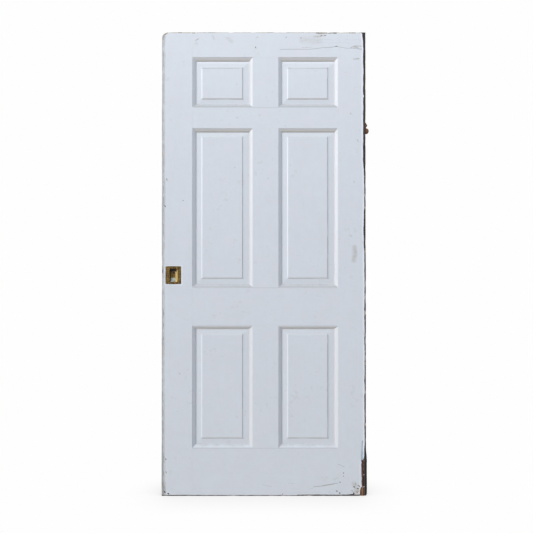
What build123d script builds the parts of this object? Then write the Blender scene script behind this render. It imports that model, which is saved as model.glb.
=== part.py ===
from build123d import *
import math
import os

# Six-panel frame-and-panel door leaf of the sliding kind, with flush cup pulls and a thin hook lock.
# Millimetres. X to the right and Z up as seen from the front, the front face looks along -Y.
# Origin: middle of the bottom edge, in the middle of the thickness.

os.makedirs("parts", exist_ok=True)

# ---------------------------------------------------------------- leaf
W = 914.4  # width of the leaf
H = 2081.0  # height of the leaf
T = 34.9  # thickness of the frame
HT = T / 2
XL, XR = -W / 2, W / 2

# Flat faces of the frame, between the outer lines of the mouldings
X_STILE_L = -320.2  # lock stile, inner line
X_MUNTIN = (-49.9, 66.8)
X_STILE_R = 333.9  # back stile, inner line
Z_BOTTOM = 214.2  # bottom rail, upper line
Z_LOCK = (761.5, 933.9)
Z_FRIEZE = (1649.2, 1744.8)
Z_TOP = 1969.1  # top rail, lower line

# Moulding worked on the inner arrises, and the panel groove behind it
S = 14.5  # moulding width
QUIRK = 1.6
OVOLO_W, OVOLO_D = 12.7, 9.2
STEP_D = 10.4
GROOVE_HALF = 5.0
GROOVE = 9.0
ARRIS_LEAD = 6.0  # rounded leading edge
ARRIS = 2.0

# Panels
TONGUE_HALF = 4.8
BEVEL_HALF = 7.3  # half thickness at the foot of the raised field
FIELD_HALF = 9.8
IN_GROOVE = 8.0
SHOULDER = 4.0  # width of the slope up to the field
SHOULDERS_X = {"left": (-278.5, -95.3), "right": (107.9, 289.5)}
SHOULDERS_Z = {
    "top": (1785.2, 1924.5),
    "middle": (976.3, 1611.8),
    "bottom": (257.1, 721.7),
}

# Joints of the frame
TENON_HALF = 5.0
TENONS = {
    "top_rail": [(1978.0, 2036.0)],
    "frieze_rail": [(1663.0, 1731.0)],
    "lock_rail": [(776.0, 832.0), (862.0, 917.0)],
    "bottom_rail": [(46.0, 104.0), (140.0, 196.0)],
}
WEDGE_L, WEDGE_T = 46.0, 4.5
STUB = 32.0  # stub tenon of a muntin beyond the groove
STUB_X = (-44.0, 61.0)

# Cup pulls
PULL_W, PULL_H = 70.0, 77.8
PULL_X, PULL_Z = -405.6, 988.9
PULL_BULGE = 1.3
PLATE_T, PLATE_IN = 2.0, 1.0
CUP_X, CUP_Z = (-422.1, -388.9), (956.8, 1020.1)
FLOOR_X, FLOOR_Z = (-418.8, -401.7), (965.4, 1008.0)
CUP_DEPTH, CUP_WALL = 8.85, 0.9
KEY_X, KEY_Z = -410.5, 1003.0
PULL_SCREWS_Z = (952.6, 1024.9)
PULL_SCREW_R, PULL_SCREW_HEAD_R = 1.2, 2.9

# Hook lock
CASE_X = (-454.7, -382.7)
CASE_Z = (944.0, 1034.0)
CASE_HALF = 7.0
CASE_WALL = 1.5
FRONT_T = 2.5
FRONT_HALF_W = 8.0
FRONT_Z = (928.0, 1050.0)
FRONT_SCREWS_Z = (936.0, 1042.0)
PIVOT_X, PIVOT_Z = -444.0, 985.0
HOOK_HALF = 2.5
PIN_R = 3.0
HOOK_BORE_R = 3.05
COVER_SCREWS = ((-390.0, 1027.0), (-390.0, 955.5), (-447.0, 1027.0))

# Stop on the back edge
STOP_Z = (1627.6, 1677.0)
STOP_HALF_W = 11.0
STOP_T = 4.0
STOP_OUT = 15.0
STOP_SCREW_Z = 1666.0


def end_edges(at, kind, r=0.0):
    """Edges of one end of a member's section, towards +x, and where its flat faces stop."""
    if kind == "stick":
        w, d = OVOLO_W - 1.2, OVOLO_D - QUIRK
        radius = (w * w + d * d) / (2 * d)  # starts level with the quirk
        turn = math.asin(w / radius) / 2
        mid = (
            at + 1.2 + radius * math.sin(turn),
            -HT + QUIRK + radius * (1 - math.cos(turn)),
        )
        half = [
            ((at, -HT), (at, -HT + QUIRK)),
            ((at, -HT + QUIRK), (at + 1.2, -HT + QUIRK)),
            ((at + 1.2, -HT + QUIRK), mid, (at + OVOLO_W, -HT + OVOLO_D)),
            ((at + OVOLO_W, -HT + OVOLO_D), (at + OVOLO_W, -HT + STEP_D)),
            ((at + OVOLO_W, -HT + STEP_D), (at + S, -HT + STEP_D)),
            ((at + S, -HT + STEP_D), (at + S, -GROOVE_HALF)),
            ((at + S, -GROOVE_HALF), (at + S - GROOVE, -GROOVE_HALF)),
        ]
        cross = ((at + S - GROOVE, -GROOVE_HALF), (at + S - GROOVE, GROOVE_HALF))
        flat = at
    elif r > 0:
        k = r * (1 - math.sqrt(0.5))
        half = [((at - r, -HT), (at - k, -HT + k), (at, -HT + r))]
        cross = ((at, -HT + r), (at, HT - r))
        flat = at - r
    else:
        half, cross, flat = [], ((at, -HT), (at, HT)), at
    other = [tuple((x, -y) for x, y in s) for s in half]
    return half + other + [cross], flat


def section(lo, hi, kind_lo, kind_hi, r_lo=0.0, r_hi=0.0):
    high, flat_hi = end_edges(hi, kind_hi, r_hi)
    low, flat_lo = end_edges(-lo, kind_lo, r_lo)
    low = [tuple((-x, y) for x, y in s) for s in low]
    flat_lo = -flat_lo
    segs = high + low + [((flat_lo, y), (flat_hi, y)) for y in (-HT, HT)]
    edges = [Line(*s) if len(s) == 2 else ThreePointArc(*s) for s in segs]
    return make_face(edges)


def upright(face, z0, z1):
    return extrude(Plane((0, 0, z0)) * face, amount=z1 - z0)


def across(face, x0, x1):
    """A section drawn as (Z, Y), made solid from x0 to x1."""
    return extrude(
        Plane(origin=(x1, 0, 0), x_dir=(0, 0, 1), z_dir=(-1, 0, 0)) * face,
        amount=x1 - x0,
    )


def block(x, y, z):
    return Pos((x[0] + x[1]) / 2, (y[0] + y[1]) / 2, (z[0] + z[1]) / 2) * Box(
        x[1] - x[0], y[1] - y[0], z[1] - z[0]
    )


def prism_xz(points, y0, y1):
    """A polygon of (X, Z) points made solid from y0 to y1."""
    pl = Plane(origin=(0, y0, 0), x_dir=(1, 0, 0), z_dir=(0, -1, 0))
    return extrude(pl * make_face(Polyline(*points, close=True)), amount=-(y1 - y0))


def prism_xy(points, z0, z1):
    return extrude(
        Plane((0, 0, z0)) * make_face(Polyline(*points, close=True)), amount=z1 - z0
    )


def prism_zy(points, x0, x1):
    return across(make_face(Polyline(*points, close=True)), x0, x1)


def rod_y(x, z, r, y0, y1):
    return Pos(x, (y0 + y1) / 2, z) * Rot(90, 0, 0) * Cylinder(r, y1 - y0)


def rod_x(y, z, r, x0, x1):
    return Pos((x0 + x1) / 2, y, z) * Rot(0, 90, 0) * Cylinder(r, x1 - x0)


def save(name, shape):
    solids = list(shape.solids())
    solids = [s for s in solids if s.volume > 1e-3]
    out = solids[0] if len(solids) == 1 else Compound(solids)
    out.label = name
    export_step(out, f"parts/{name}.step")
    print(name, len(solids), round(sum(s.volume for s in solids)))


# ---------------------------------------------------------------- stiles
def wedges(side, z0, z1):
    """The two wedges of a through tenon, thick end flush with the edge of the leaf."""
    x_out = XL if side < 0 else XR
    x_in = x_out - side * WEDGE_L
    up = [(x_out, z1), (x_in, z1), (x_out, z1 + WEDGE_T)]
    down = [(x_out, z0), (x_in, z0), (x_out, z0 - WEDGE_T)]
    return [prism_xz(p, -TENON_HALF, TENON_HALF) for p in (up, down)]


lock_stile = upright(
    section(XL, X_STILE_L, "round", "stick", r_lo=ARRIS_LEAD), 0, H
)
back_stile = upright(
    section(X_STILE_R, XR, "stick", "round", r_hi=ARRIS), 0, H
)
all_wedges, tenon_boxes = [], {}
for rail, spans in TENONS.items():
    tenon_boxes[rail] = []
    for z0, z1 in spans:
        for side in (-1, 1):
            pair = wedges(side, z0, z1)
            all_wedges += pair
            inner = X_STILE_L + S if side < 0 else X_STILE_R - S
            outer = XL if side < 0 else XR
            box = block(
                sorted((inner, outer)), (-TENON_HALF, TENON_HALF), (z0, z1)
            )
            tenon_boxes[rail].append(box)
            if side < 0:
                lock_stile = lock_stile - box - pair[0] - pair[1]
            else:
                back_stile = back_stile - box - pair[0] - pair[1]

# ---------------------------------------------------------------- rails
rail_sections = {
    "top_rail": section(Z_TOP, H, "stick", "plain"),
    "frieze_rail": section(*Z_FRIEZE, "stick", "stick"),
    "lock_rail": section(*Z_LOCK, "stick", "stick"),
    "bottom_rail": section(0, Z_BOTTOM, "plain", "stick"),
}
rails = {}
for name, face in rail_sections.items():
    bar = across(face, X_STILE_L, X_STILE_R)
    for box in tenon_boxes[name]:
        bar = bar + box
    rails[name] = bar - lock_stile - back_stile

# ---------------------------------------------------------------- muntins, with stub tenons let into the rails
muntin_face = section(*X_MUNTIN, "stick", "stick")
bays = {
    "top": ("frieze_rail", Z_FRIEZE[1], "top_rail", Z_TOP),
    "middle": ("lock_rail", Z_LOCK[1], "frieze_rail", Z_FRIEZE[0]),
    "bottom": ("bottom_rail", Z_BOTTOM, "lock_rail", Z_LOCK[0]),
}
muntins = {}
for bay, (low_rail, z0, high_rail, z1) in bays.items():
    low_stub = block(
        STUB_X, (-TENON_HALF, TENON_HALF), (z0 + S - GROOVE - STUB, z0 + S)
    )
    high_stub = block(
        STUB_X, (-TENON_HALF, TENON_HALF), (z1 - S, z1 - S + GROOVE + STUB)
    )
    rails[low_rail] = rails[low_rail] - low_stub
    rails[high_rail] = rails[high_rail] - high_stub
    muntins[bay] = (upright(muntin_face, z0, z1) + low_stub + high_stub, low_rail, high_rail)
for bay, (bar, low_rail, high_rail) in list(muntins.items()):
    muntins[bay] = bar - rails[low_rail] - rails[high_rail]


# ---------------------------------------------------------------- raised panels, loose in their grooves and resting on the lower one
def thickness_profile(edge_lo, sight_lo, foot_lo, foot_hi, sight_hi, edge_hi):
    half = [
        (edge_lo, TONGUE_HALF),
        (sight_lo, TONGUE_HALF),
        (foot_lo - SHOULDER / 2, BEVEL_HALF),
        (foot_lo + SHOULDER / 2, FIELD_HALF),
        (foot_hi - SHOULDER / 2, FIELD_HALF),
        (foot_hi + SHOULDER / 2, BEVEL_HALF),
        (sight_hi, TONGUE_HALF),
        (edge_hi, TONGUE_HALF),
    ]
    return [(w, -t) for w, t in half] + [(w, t) for w, t in reversed(half)]


columns = {
    "left": (X_STILE_L + S, X_MUNTIN[0] - S),
    "right": (X_MUNTIN[1] + S, X_STILE_R - S),
}
rows = {
    "top": (Z_FRIEZE[1] + S, Z_TOP - S),
    "middle": (Z_LOCK[1] + S, Z_FRIEZE[0] - S),
    "bottom": (Z_BOTTOM + S, Z_LOCK[0] - S),
}
for row, (z_lo, z_hi) in rows.items():
    for column, (x_lo, x_hi) in columns.items():
        ex0, ex1 = x_lo - IN_GROOVE, x_hi + IN_GROOVE
        ez0, ez1 = z_lo - GROOVE, z_hi + IN_GROOVE - 1
        sx, sz = SHOULDERS_X[column], SHOULDERS_Z[row]
        panel = prism_xy(
            thickness_profile(ex0, x_lo + 0.4, sx[0], sx[1], x_hi - 0.4, ex1), ez0, ez1
        ) & prism_zy(
            thickness_profile(ez0, z_lo + 0.4, sz[0], sz[1], z_hi - 0.4, ez1), ex0, ex1
        )
        save(f"panel_{row}_{column}", panel)


# ---------------------------------------------------------------- cup pulls, plate and cup pressed from one sheet
def plate_face(grow=0.0):
    w, h, b = PULL_W / 2 + grow, PULL_H / 2 + grow, PULL_BULGE
    return make_face(
        [
            Line((-w, -h), (-w, h)),
            ThreePointArc((-w, h), (0, h + b), (w, h)),
            Line((w, h), (w, -h)),
            ThreePointArc((w, -h), (0, -h - b), (-w, -h)),
        ]
    )


def facing(x, y, z):
    """Plane whose normal points out of the front face, local x to the right, local y up."""
    return Plane(origin=(x, y, z), x_dir=(1, 0, 0), z_dir=(0, -1, 0))


def cup(x, z, y0, fx, fz, y1, grow):
    """A tapered pocket from the mouth at y0 to the floor at y1."""
    mouth = facing((x[0] + x[1]) / 2, y0, (z[0] + z[1]) / 2) * RectangleRounded(
        x[1] - x[0] + 2 * grow, z[1] - z[0] + 2 * grow, 5.0 + grow
    )
    floor = facing((fx[0] + fx[1]) / 2, y1, (fz[0] + fz[1]) / 2) * RectangleRounded(
        fx[1] - fx[0] + 2 * grow, fz[1] - fz[0] + 2 * grow, 4.0 + grow
    )
    return loft([mouth, floor])


def keyhole(r, slot, drop, y0, y1):
    return rod_y(KEY_X, KEY_Z, r, y0, y1) + block(
        (KEY_X - slot / 2, KEY_X + slot / 2), (y0, y1), (KEY_Z - drop, KEY_Z)
    )


y_face = -HT - (PLATE_T - PLATE_IN)  # outer face of the front plate
y_back = -HT + PLATE_IN
y_floor = y_face + CUP_DEPTH
plate = extrude(facing(PULL_X, y_back, PULL_Z) * plate_face(), amount=PLATE_T)
plate = chamfer(
    plate.faces().sort_by(Axis.Y)[0].edges(), 0.8
)  # softened border of the plate
shell = cup(CUP_X, CUP_Z, y_back, FLOOR_X, FLOOR_Z, y_floor + CUP_WALL, CUP_WALL)
hollow = cup(CUP_X, CUP_Z, y_face, FLOOR_X, FLOOR_Z, y_floor, 0.0)
pull = plate + shell - hollow
pull = pull - keyhole(2.2, 2.2, 8.0, y_floor - 0.5, y_floor + 2)
screws = []
for z in PULL_SCREWS_Z:
    screw = rod_y(PULL_X, z, PULL_SCREW_R, y_face + 1.2, y_face + 9.4)
    head = (
        Pos(PULL_X, y_face + 0.7, z)
        * Rot(90, 0, 0)
        * Cone(1.5, PULL_SCREW_HEAD_R, 1.4)
    )
    slot = block(
        (PULL_X - 3.5, PULL_X + 3.5), (y_face - 0.1, y_face + 0.5), (z - 0.35, z + 0.35)
    )
    screws.append(screw + head - slot)
    pull = pull - head - rod_y(PULL_X, z, PULL_SCREW_R + 0.05, y_face + 1.0, y_back + 0.1)

recess = extrude(facing(PULL_X, y_back, PULL_Z) * plate_face(), amount=PLATE_IN)
pocket = block((-423.3, -387.7), (y_back, y_floor + CUP_WALL + 0.2), (955.6, 1021.3))
holes = [
    rod_y(PULL_X, z, PULL_SCREW_R + 0.05, y_back - 0.1, y_face + 9.6)
    for z in PULL_SCREWS_Z
]
keyway = keyhole(4.0, 5.0, 11.0, -HT + 8, HT - 8)
cuts = [recess, pocket] + holes
lock_stile = lock_stile - keyway
for cut in cuts:
    lock_stile = lock_stile - cut
    lock_stile = lock_stile - mirror(cut, about=Plane.XZ)
pull_back = mirror(pull, about=Plane.XZ)
back_screws = [mirror(s, about=Plane.XZ) for s in screws]

# ---------------------------------------------------------------- hook lock let into the leading edge
case_cut = block(
    (XL + FRONT_T, CASE_X[1] + 0.4),
    (-CASE_HALF - 0.2, CASE_HALF + 0.2),
    (CASE_Z[0] - 0.3, CASE_Z[1] + 0.3),
)


def front_outline(grow=0.0):
    length, width = FRONT_Z[1] - FRONT_Z[0] + 2 * grow, 2 * (FRONT_HALF_W + grow)
    pl = Plane(
        origin=(XL, 0, (FRONT_Z[0] + FRONT_Z[1]) / 2), x_dir=(0, 0, 1), z_dir=(1, 0, 0)
    )
    return pl * RectangleRounded(length, width, width / 2 - 0.01)


front_plate = extrude(front_outline(), amount=FRONT_T)
lock_stile = lock_stile - case_cut - front_plate
slot = block((XL - 1, XL + FRONT_T + 1), (-2.9, 2.9), (PIVOT_Z + 1.0, PIVOT_Z + 24.0))
front_plate = front_plate - slot
plate_screws = []
for z in FRONT_SCREWS_Z:
    shank = rod_x(0, z, 1.6, XL + 1.5, XL + 26)
    head = Pos(XL + 1.0, 0, z) * Rot(0, -90, 0) * Cone(1.8, 3.6, 2.0)
    cut = block((XL - 0.1, XL + 0.6), (-4, 4), (z - 0.45, z + 0.45))
    plate_screws.append(shank + head - cut)
    front_plate = front_plate - head - rod_x(0, z, 1.65, XL, XL + FRONT_T + 1)
    lock_stile = lock_stile - rod_x(0, z, 1.65, XL + 1, XL + 26.5)

cx, cz = CASE_X, CASE_Z
tray = block(cx, (-CASE_HALF, CASE_HALF - CASE_WALL), cz) - block(
    (cx[0] - 1, cx[1] - CASE_WALL),
    (-CASE_HALF + CASE_WALL, CASE_HALF),
    (cz[0] + CASE_WALL, cz[1] - CASE_WALL),
)
y_in = CASE_HALF - CASE_WALL
tray = tray + rod_y(PIVOT_X, PIVOT_Z, 5.0, -y_in - 0.1, -HOOK_HALF - 0.1)
tray = tray + rod_y(PIVOT_X, PIVOT_Z, PIN_R, -HOOK_HALF - 0.2, y_in)
cover = block(cx, (y_in, CASE_HALF), cz)
cover = cover + (
    rod_y(PIVOT_X, PIVOT_Z, 5.0, HOOK_HALF + 0.1, y_in + 0.1)
    - rod_y(PIVOT_X, PIVOT_Z, PIN_R, 0, y_in)
)
cover_screws = []
for x, z in COVER_SCREWS:
    tray = tray + rod_y(x, z, 2.6, -y_in - 0.1, y_in)
    tray = tray - rod_y(x, z, 1.25, 0.5, y_in + 1)
    screw = rod_y(x, z, 1.2, 1.0, CASE_HALF - 0.3)
    head = rod_y(x, z, 2.2, CASE_HALF - 0.8, CASE_HALF)
    cover = cover - rod_y(x, z, 1.25, y_in - 1, CASE_HALF + 1) - head
    cover_screws.append(
        screw
        + head
        - block((x - 3, x + 3), (CASE_HALF - 0.35, CASE_HALF + 1), (z - 0.3, z + 0.3))
    )
key_cut = keyhole(3.0, 3.0, 9.0, -HT, HT)
tray, cover = tray - key_cut, cover - key_cut


def sector(r0, r1, a0, a1, steps=24):
    """Ring sector about the pivot as (X, Z) points, angles in degrees from +X towards +Z."""
    arc = [math.radians(a0 + (a1 - a0) * i / steps) for i in range(steps + 1)]
    outer = [(PIVOT_X + r1 * math.cos(a), PIVOT_Z + r1 * math.sin(a)) for a in arc]
    if r0 <= 0:
        return outer + [(PIVOT_X, PIVOT_Z)]
    inner = [(PIVOT_X + r0 * math.cos(a), PIVOT_Z + r0 * math.sin(a)) for a in arc]
    return outer + inner[::-1]


hook = rod_y(PIVOT_X, PIVOT_Z, 7.5, -HOOK_HALF, HOOK_HALF)
hook = hook + prism_xz(sector(15, 24, 58, 112), -HOOK_HALF, HOOK_HALF)
hook = hook + prism_xz(sector(0, 17, 58, 84), -HOOK_HALF, HOOK_HALF)
tail = math.radians(20)
c, s = math.cos(tail), math.sin(tail)


def along(u, v):
    return (PIVOT_X + u * c - v * s, PIVOT_Z + u * s + v * c)


hook = hook + prism_xz(
    [along(0, -4.5), along(27, -3.5), along(27, 3.5), along(0, 4.5)],
    -HOOK_HALF,
    HOOK_HALF,
)
nx, nz = along(28.5, 1.0)
hook = hook - rod_y(nx, nz, 4.0, -HOOK_HALF - 1, HOOK_HALF + 1)
hook = hook - rod_y(PIVOT_X, PIVOT_Z, HOOK_BORE_R, -HOOK_HALF - 1, HOOK_HALF + 1)

# Flat spring: screwed leg on the floor of the case, long blade up to the underside of the hub
leaf = [
    (-385.0, 945.6),
    (-398.0, 945.6),
    (-437.0, 976.4),
    (-451.0, 976.4),
]
top_leaf = [(x, z + 0.8) for x, z in leaf]
spring = prism_xz(leaf + top_leaf[::-1], -3.0, 3.0)

# ---------------------------------------------------------------- rusty stop on the back edge
stop_h = STOP_Z[1] - STOP_Z[0]
stop_plane = Plane(
    origin=(XR, 0, (STOP_Z[0] + STOP_Z[1]) / 2), x_dir=(0, 0, 1), z_dir=(1, 0, 0)
)
stop = extrude(
    stop_plane * RectangleRounded(stop_h, 2 * STOP_HALF_W, 8.0), amount=STOP_T
)
dome_r = 12.3
dome_z = STOP_Z[0] + dome_r + 0.2


def turned_x(z, start, *segments):
    """A round body about the X line at height z, from (X, radius) points; a pair of points is an arc."""
    edges, at = [], start
    for seg in segments:
        if isinstance(seg[0], tuple):
            edges.append(ThreePointArc(at, seg[0], seg[1]))
            at = seg[1]
        else:
            edges.append(Line(at, seg))
            at = seg
    edges.append(Line(at, start))
    return Pos(0, 0, z) * revolve(make_face(edges), axis=Axis.X)


mid_x = XR + STOP_OUT - dome_r
k = dome_r * math.sqrt(0.5)
dome = turned_x(
    dome_z,
    (XR + 1, 0),
    (XR + 1, dome_r - 0.6),
    (mid_x, dome_r - 0.6),
    (mid_x, dome_r),
    ((mid_x + k, k), (mid_x + dome_r, 0)),
)
stop = stop + dome
head_r, head_h = 5.9, 4.6
stop_screw = turned_x(
    STOP_SCREW_Z,
    (XR - 30, 0),
    (XR - 30, 2.3),
    (XR + STOP_T, 2.3),
    (XR + STOP_T, head_r),
    ((XR + STOP_T + 3.4, 4.0), (XR + STOP_T + head_h, 0)),
)
stop_screw = stop_screw - block(
    (XR + STOP_T + 3.4, XR + 20), (-8, 8), (STOP_SCREW_Z - 0.6, STOP_SCREW_Z + 0.6)
)
stop = stop - rod_x(0, STOP_SCREW_Z, 2.35, XR - 1, XR + STOP_T + 2)
stop_hole = rod_x(0, STOP_SCREW_Z, 2.35, XR - 30.5, XR + 1)
back_stile = back_stile - stop_hole
rails["frieze_rail"] = rails["frieze_rail"] - stop_hole  # it goes into the tenon

# ---------------------------------------------------------------- damage that changes the outline
# worn-off upper corner of the leading edge
corner = [
    (XL - 5, 2058),
    (XL, 2060),
    (XL + 3, 2067),
    (XL + 8, 2073.5),
    (XL + 15, 2077.5),
    (XL + 24, 2081),
    (XL + 24, 2090),
    (XL - 5, 2090),
]
lock_stile = lock_stile - prism_xz(corner, -HT - 2, HT + 2)
# broken front arris at the foot of the back edge
torn = [(XR - 16, -HT - 1), (XR + 2, -HT - 1), (XR + 2, -HT + 6), (XR - 6, -HT + 2.6)]
back_stile = back_stile - prism_xy(torn, -1, 150)

save("lock_stile", lock_stile)
save("back_stile", back_stile)
for name, rail in rails.items():
    save(name, rail)
for bay, bar in muntins.items():
    save(f"{bay}_muntin", bar)
save("tenon_wedges", Compound([s for w in all_wedges for s in w.solids()]))
save("pull_front", pull)
save("pull_back", pull_back)
save("pull_screws", Compound([s for w in screws + back_screws for s in w.solids()]))
save("lock_case", tray)
save("lock_cover", cover)
save("lock_cover_screws", Compound([s for w in cover_screws for s in w.solids()]))
save("lock_front_plate", front_plate)
save("lock_plate_screws", Compound([s for w in plate_screws for s in w.solids()]))
save("lock_hook", hook)
save("lock_spring", spring)
save("edge_stop", stop)
save("edge_stop_screw", stop_screw)
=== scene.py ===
import math

import bmesh
import bpy
import numpy as np
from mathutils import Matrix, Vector


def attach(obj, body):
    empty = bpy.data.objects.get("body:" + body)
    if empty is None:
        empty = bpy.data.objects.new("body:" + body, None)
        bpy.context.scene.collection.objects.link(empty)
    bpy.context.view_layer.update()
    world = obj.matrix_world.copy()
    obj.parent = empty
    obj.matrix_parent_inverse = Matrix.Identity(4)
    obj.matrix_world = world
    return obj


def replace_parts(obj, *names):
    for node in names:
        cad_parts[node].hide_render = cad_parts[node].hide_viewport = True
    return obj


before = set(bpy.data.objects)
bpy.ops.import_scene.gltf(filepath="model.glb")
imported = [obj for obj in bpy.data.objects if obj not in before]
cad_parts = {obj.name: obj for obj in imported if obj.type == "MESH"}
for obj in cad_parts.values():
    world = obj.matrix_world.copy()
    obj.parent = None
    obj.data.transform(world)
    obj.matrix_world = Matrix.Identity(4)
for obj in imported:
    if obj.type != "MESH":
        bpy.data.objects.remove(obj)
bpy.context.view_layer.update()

# The leaf in millimetres: X to the right, front face towards -Y, Z up, bottom edge at Z = 0.
W, H, T = 914.4, 2081.0, 34.9
HT = T / 2
XL, XR = -W / 2, W / 2
S = 14.5
X_STILE_L, X_STILE_R = -320.2, 333.9
X_MUNTIN = (-49.9, 66.8)
Z_BOTTOM, Z_TOP = 214.2, 1969.1
Z_LOCK, Z_FRIEZE = (761.5, 933.9), (1649.2, 1744.8)
PX = 4.49  # millimetres of the front face to one unit of the view


def at(u, v):
    """A place on the front face, from view units."""
    return ((u - 263.62) * PX, (496.0 - v) * PX)


# ------------------------------------------------------------------ seeded noise
def _hash(ix, iy, iz, seed):
    h = (
        ix.astype(np.int64) * 374761393
        + iy.astype(np.int64) * 668265263
        + iz.astype(np.int64) * 2147483647
        + seed * 1274126177
    ) & 0xFFFFFFFF
    h = ((h ^ (h >> 13)) * 1274126177) & 0xFFFFFFFF
    h = (h ^ (h >> 16)) & 0xFFFFFFFF
    return h.astype(np.float64) / 4294967295.0


def noise(p, size, seed=0, octaves=2):
    """Smooth noise in -1..1 at the points p, features about `size` millimetres."""
    p = np.asarray(p, float)
    size = np.broadcast_to(np.asarray(size, float), (3,))
    out, amp, total = np.zeros(len(p)), 1.0, 0.0
    for o in range(octaves):
        q = p / size * (2**o) + seed * 17.31 + 91.7 * o
        i = np.floor(q)
        f = q - i
        f = f * f * (3 - 2 * f)
        v = 0
        for dx in (0, 1):
            for dy in (0, 1):
                for dz in (0, 1):
                    w = (
                        (f[:, 0] if dx else 1 - f[:, 0])
                        * (f[:, 1] if dy else 1 - f[:, 1])
                        * (f[:, 2] if dz else 1 - f[:, 2])
                    )
                    v = v + w * _hash(i[:, 0] + dx, i[:, 1] + dy, i[:, 2] + dz, seed + o)
        out += amp * (2 * v - 1)
        total += amp
        amp *= 0.5
    return out / total


def ramp(x, a, b):
    t = np.clip((x - a) / (b - a), 0, 1)
    return t * t * (3 - 2 * t)


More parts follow.
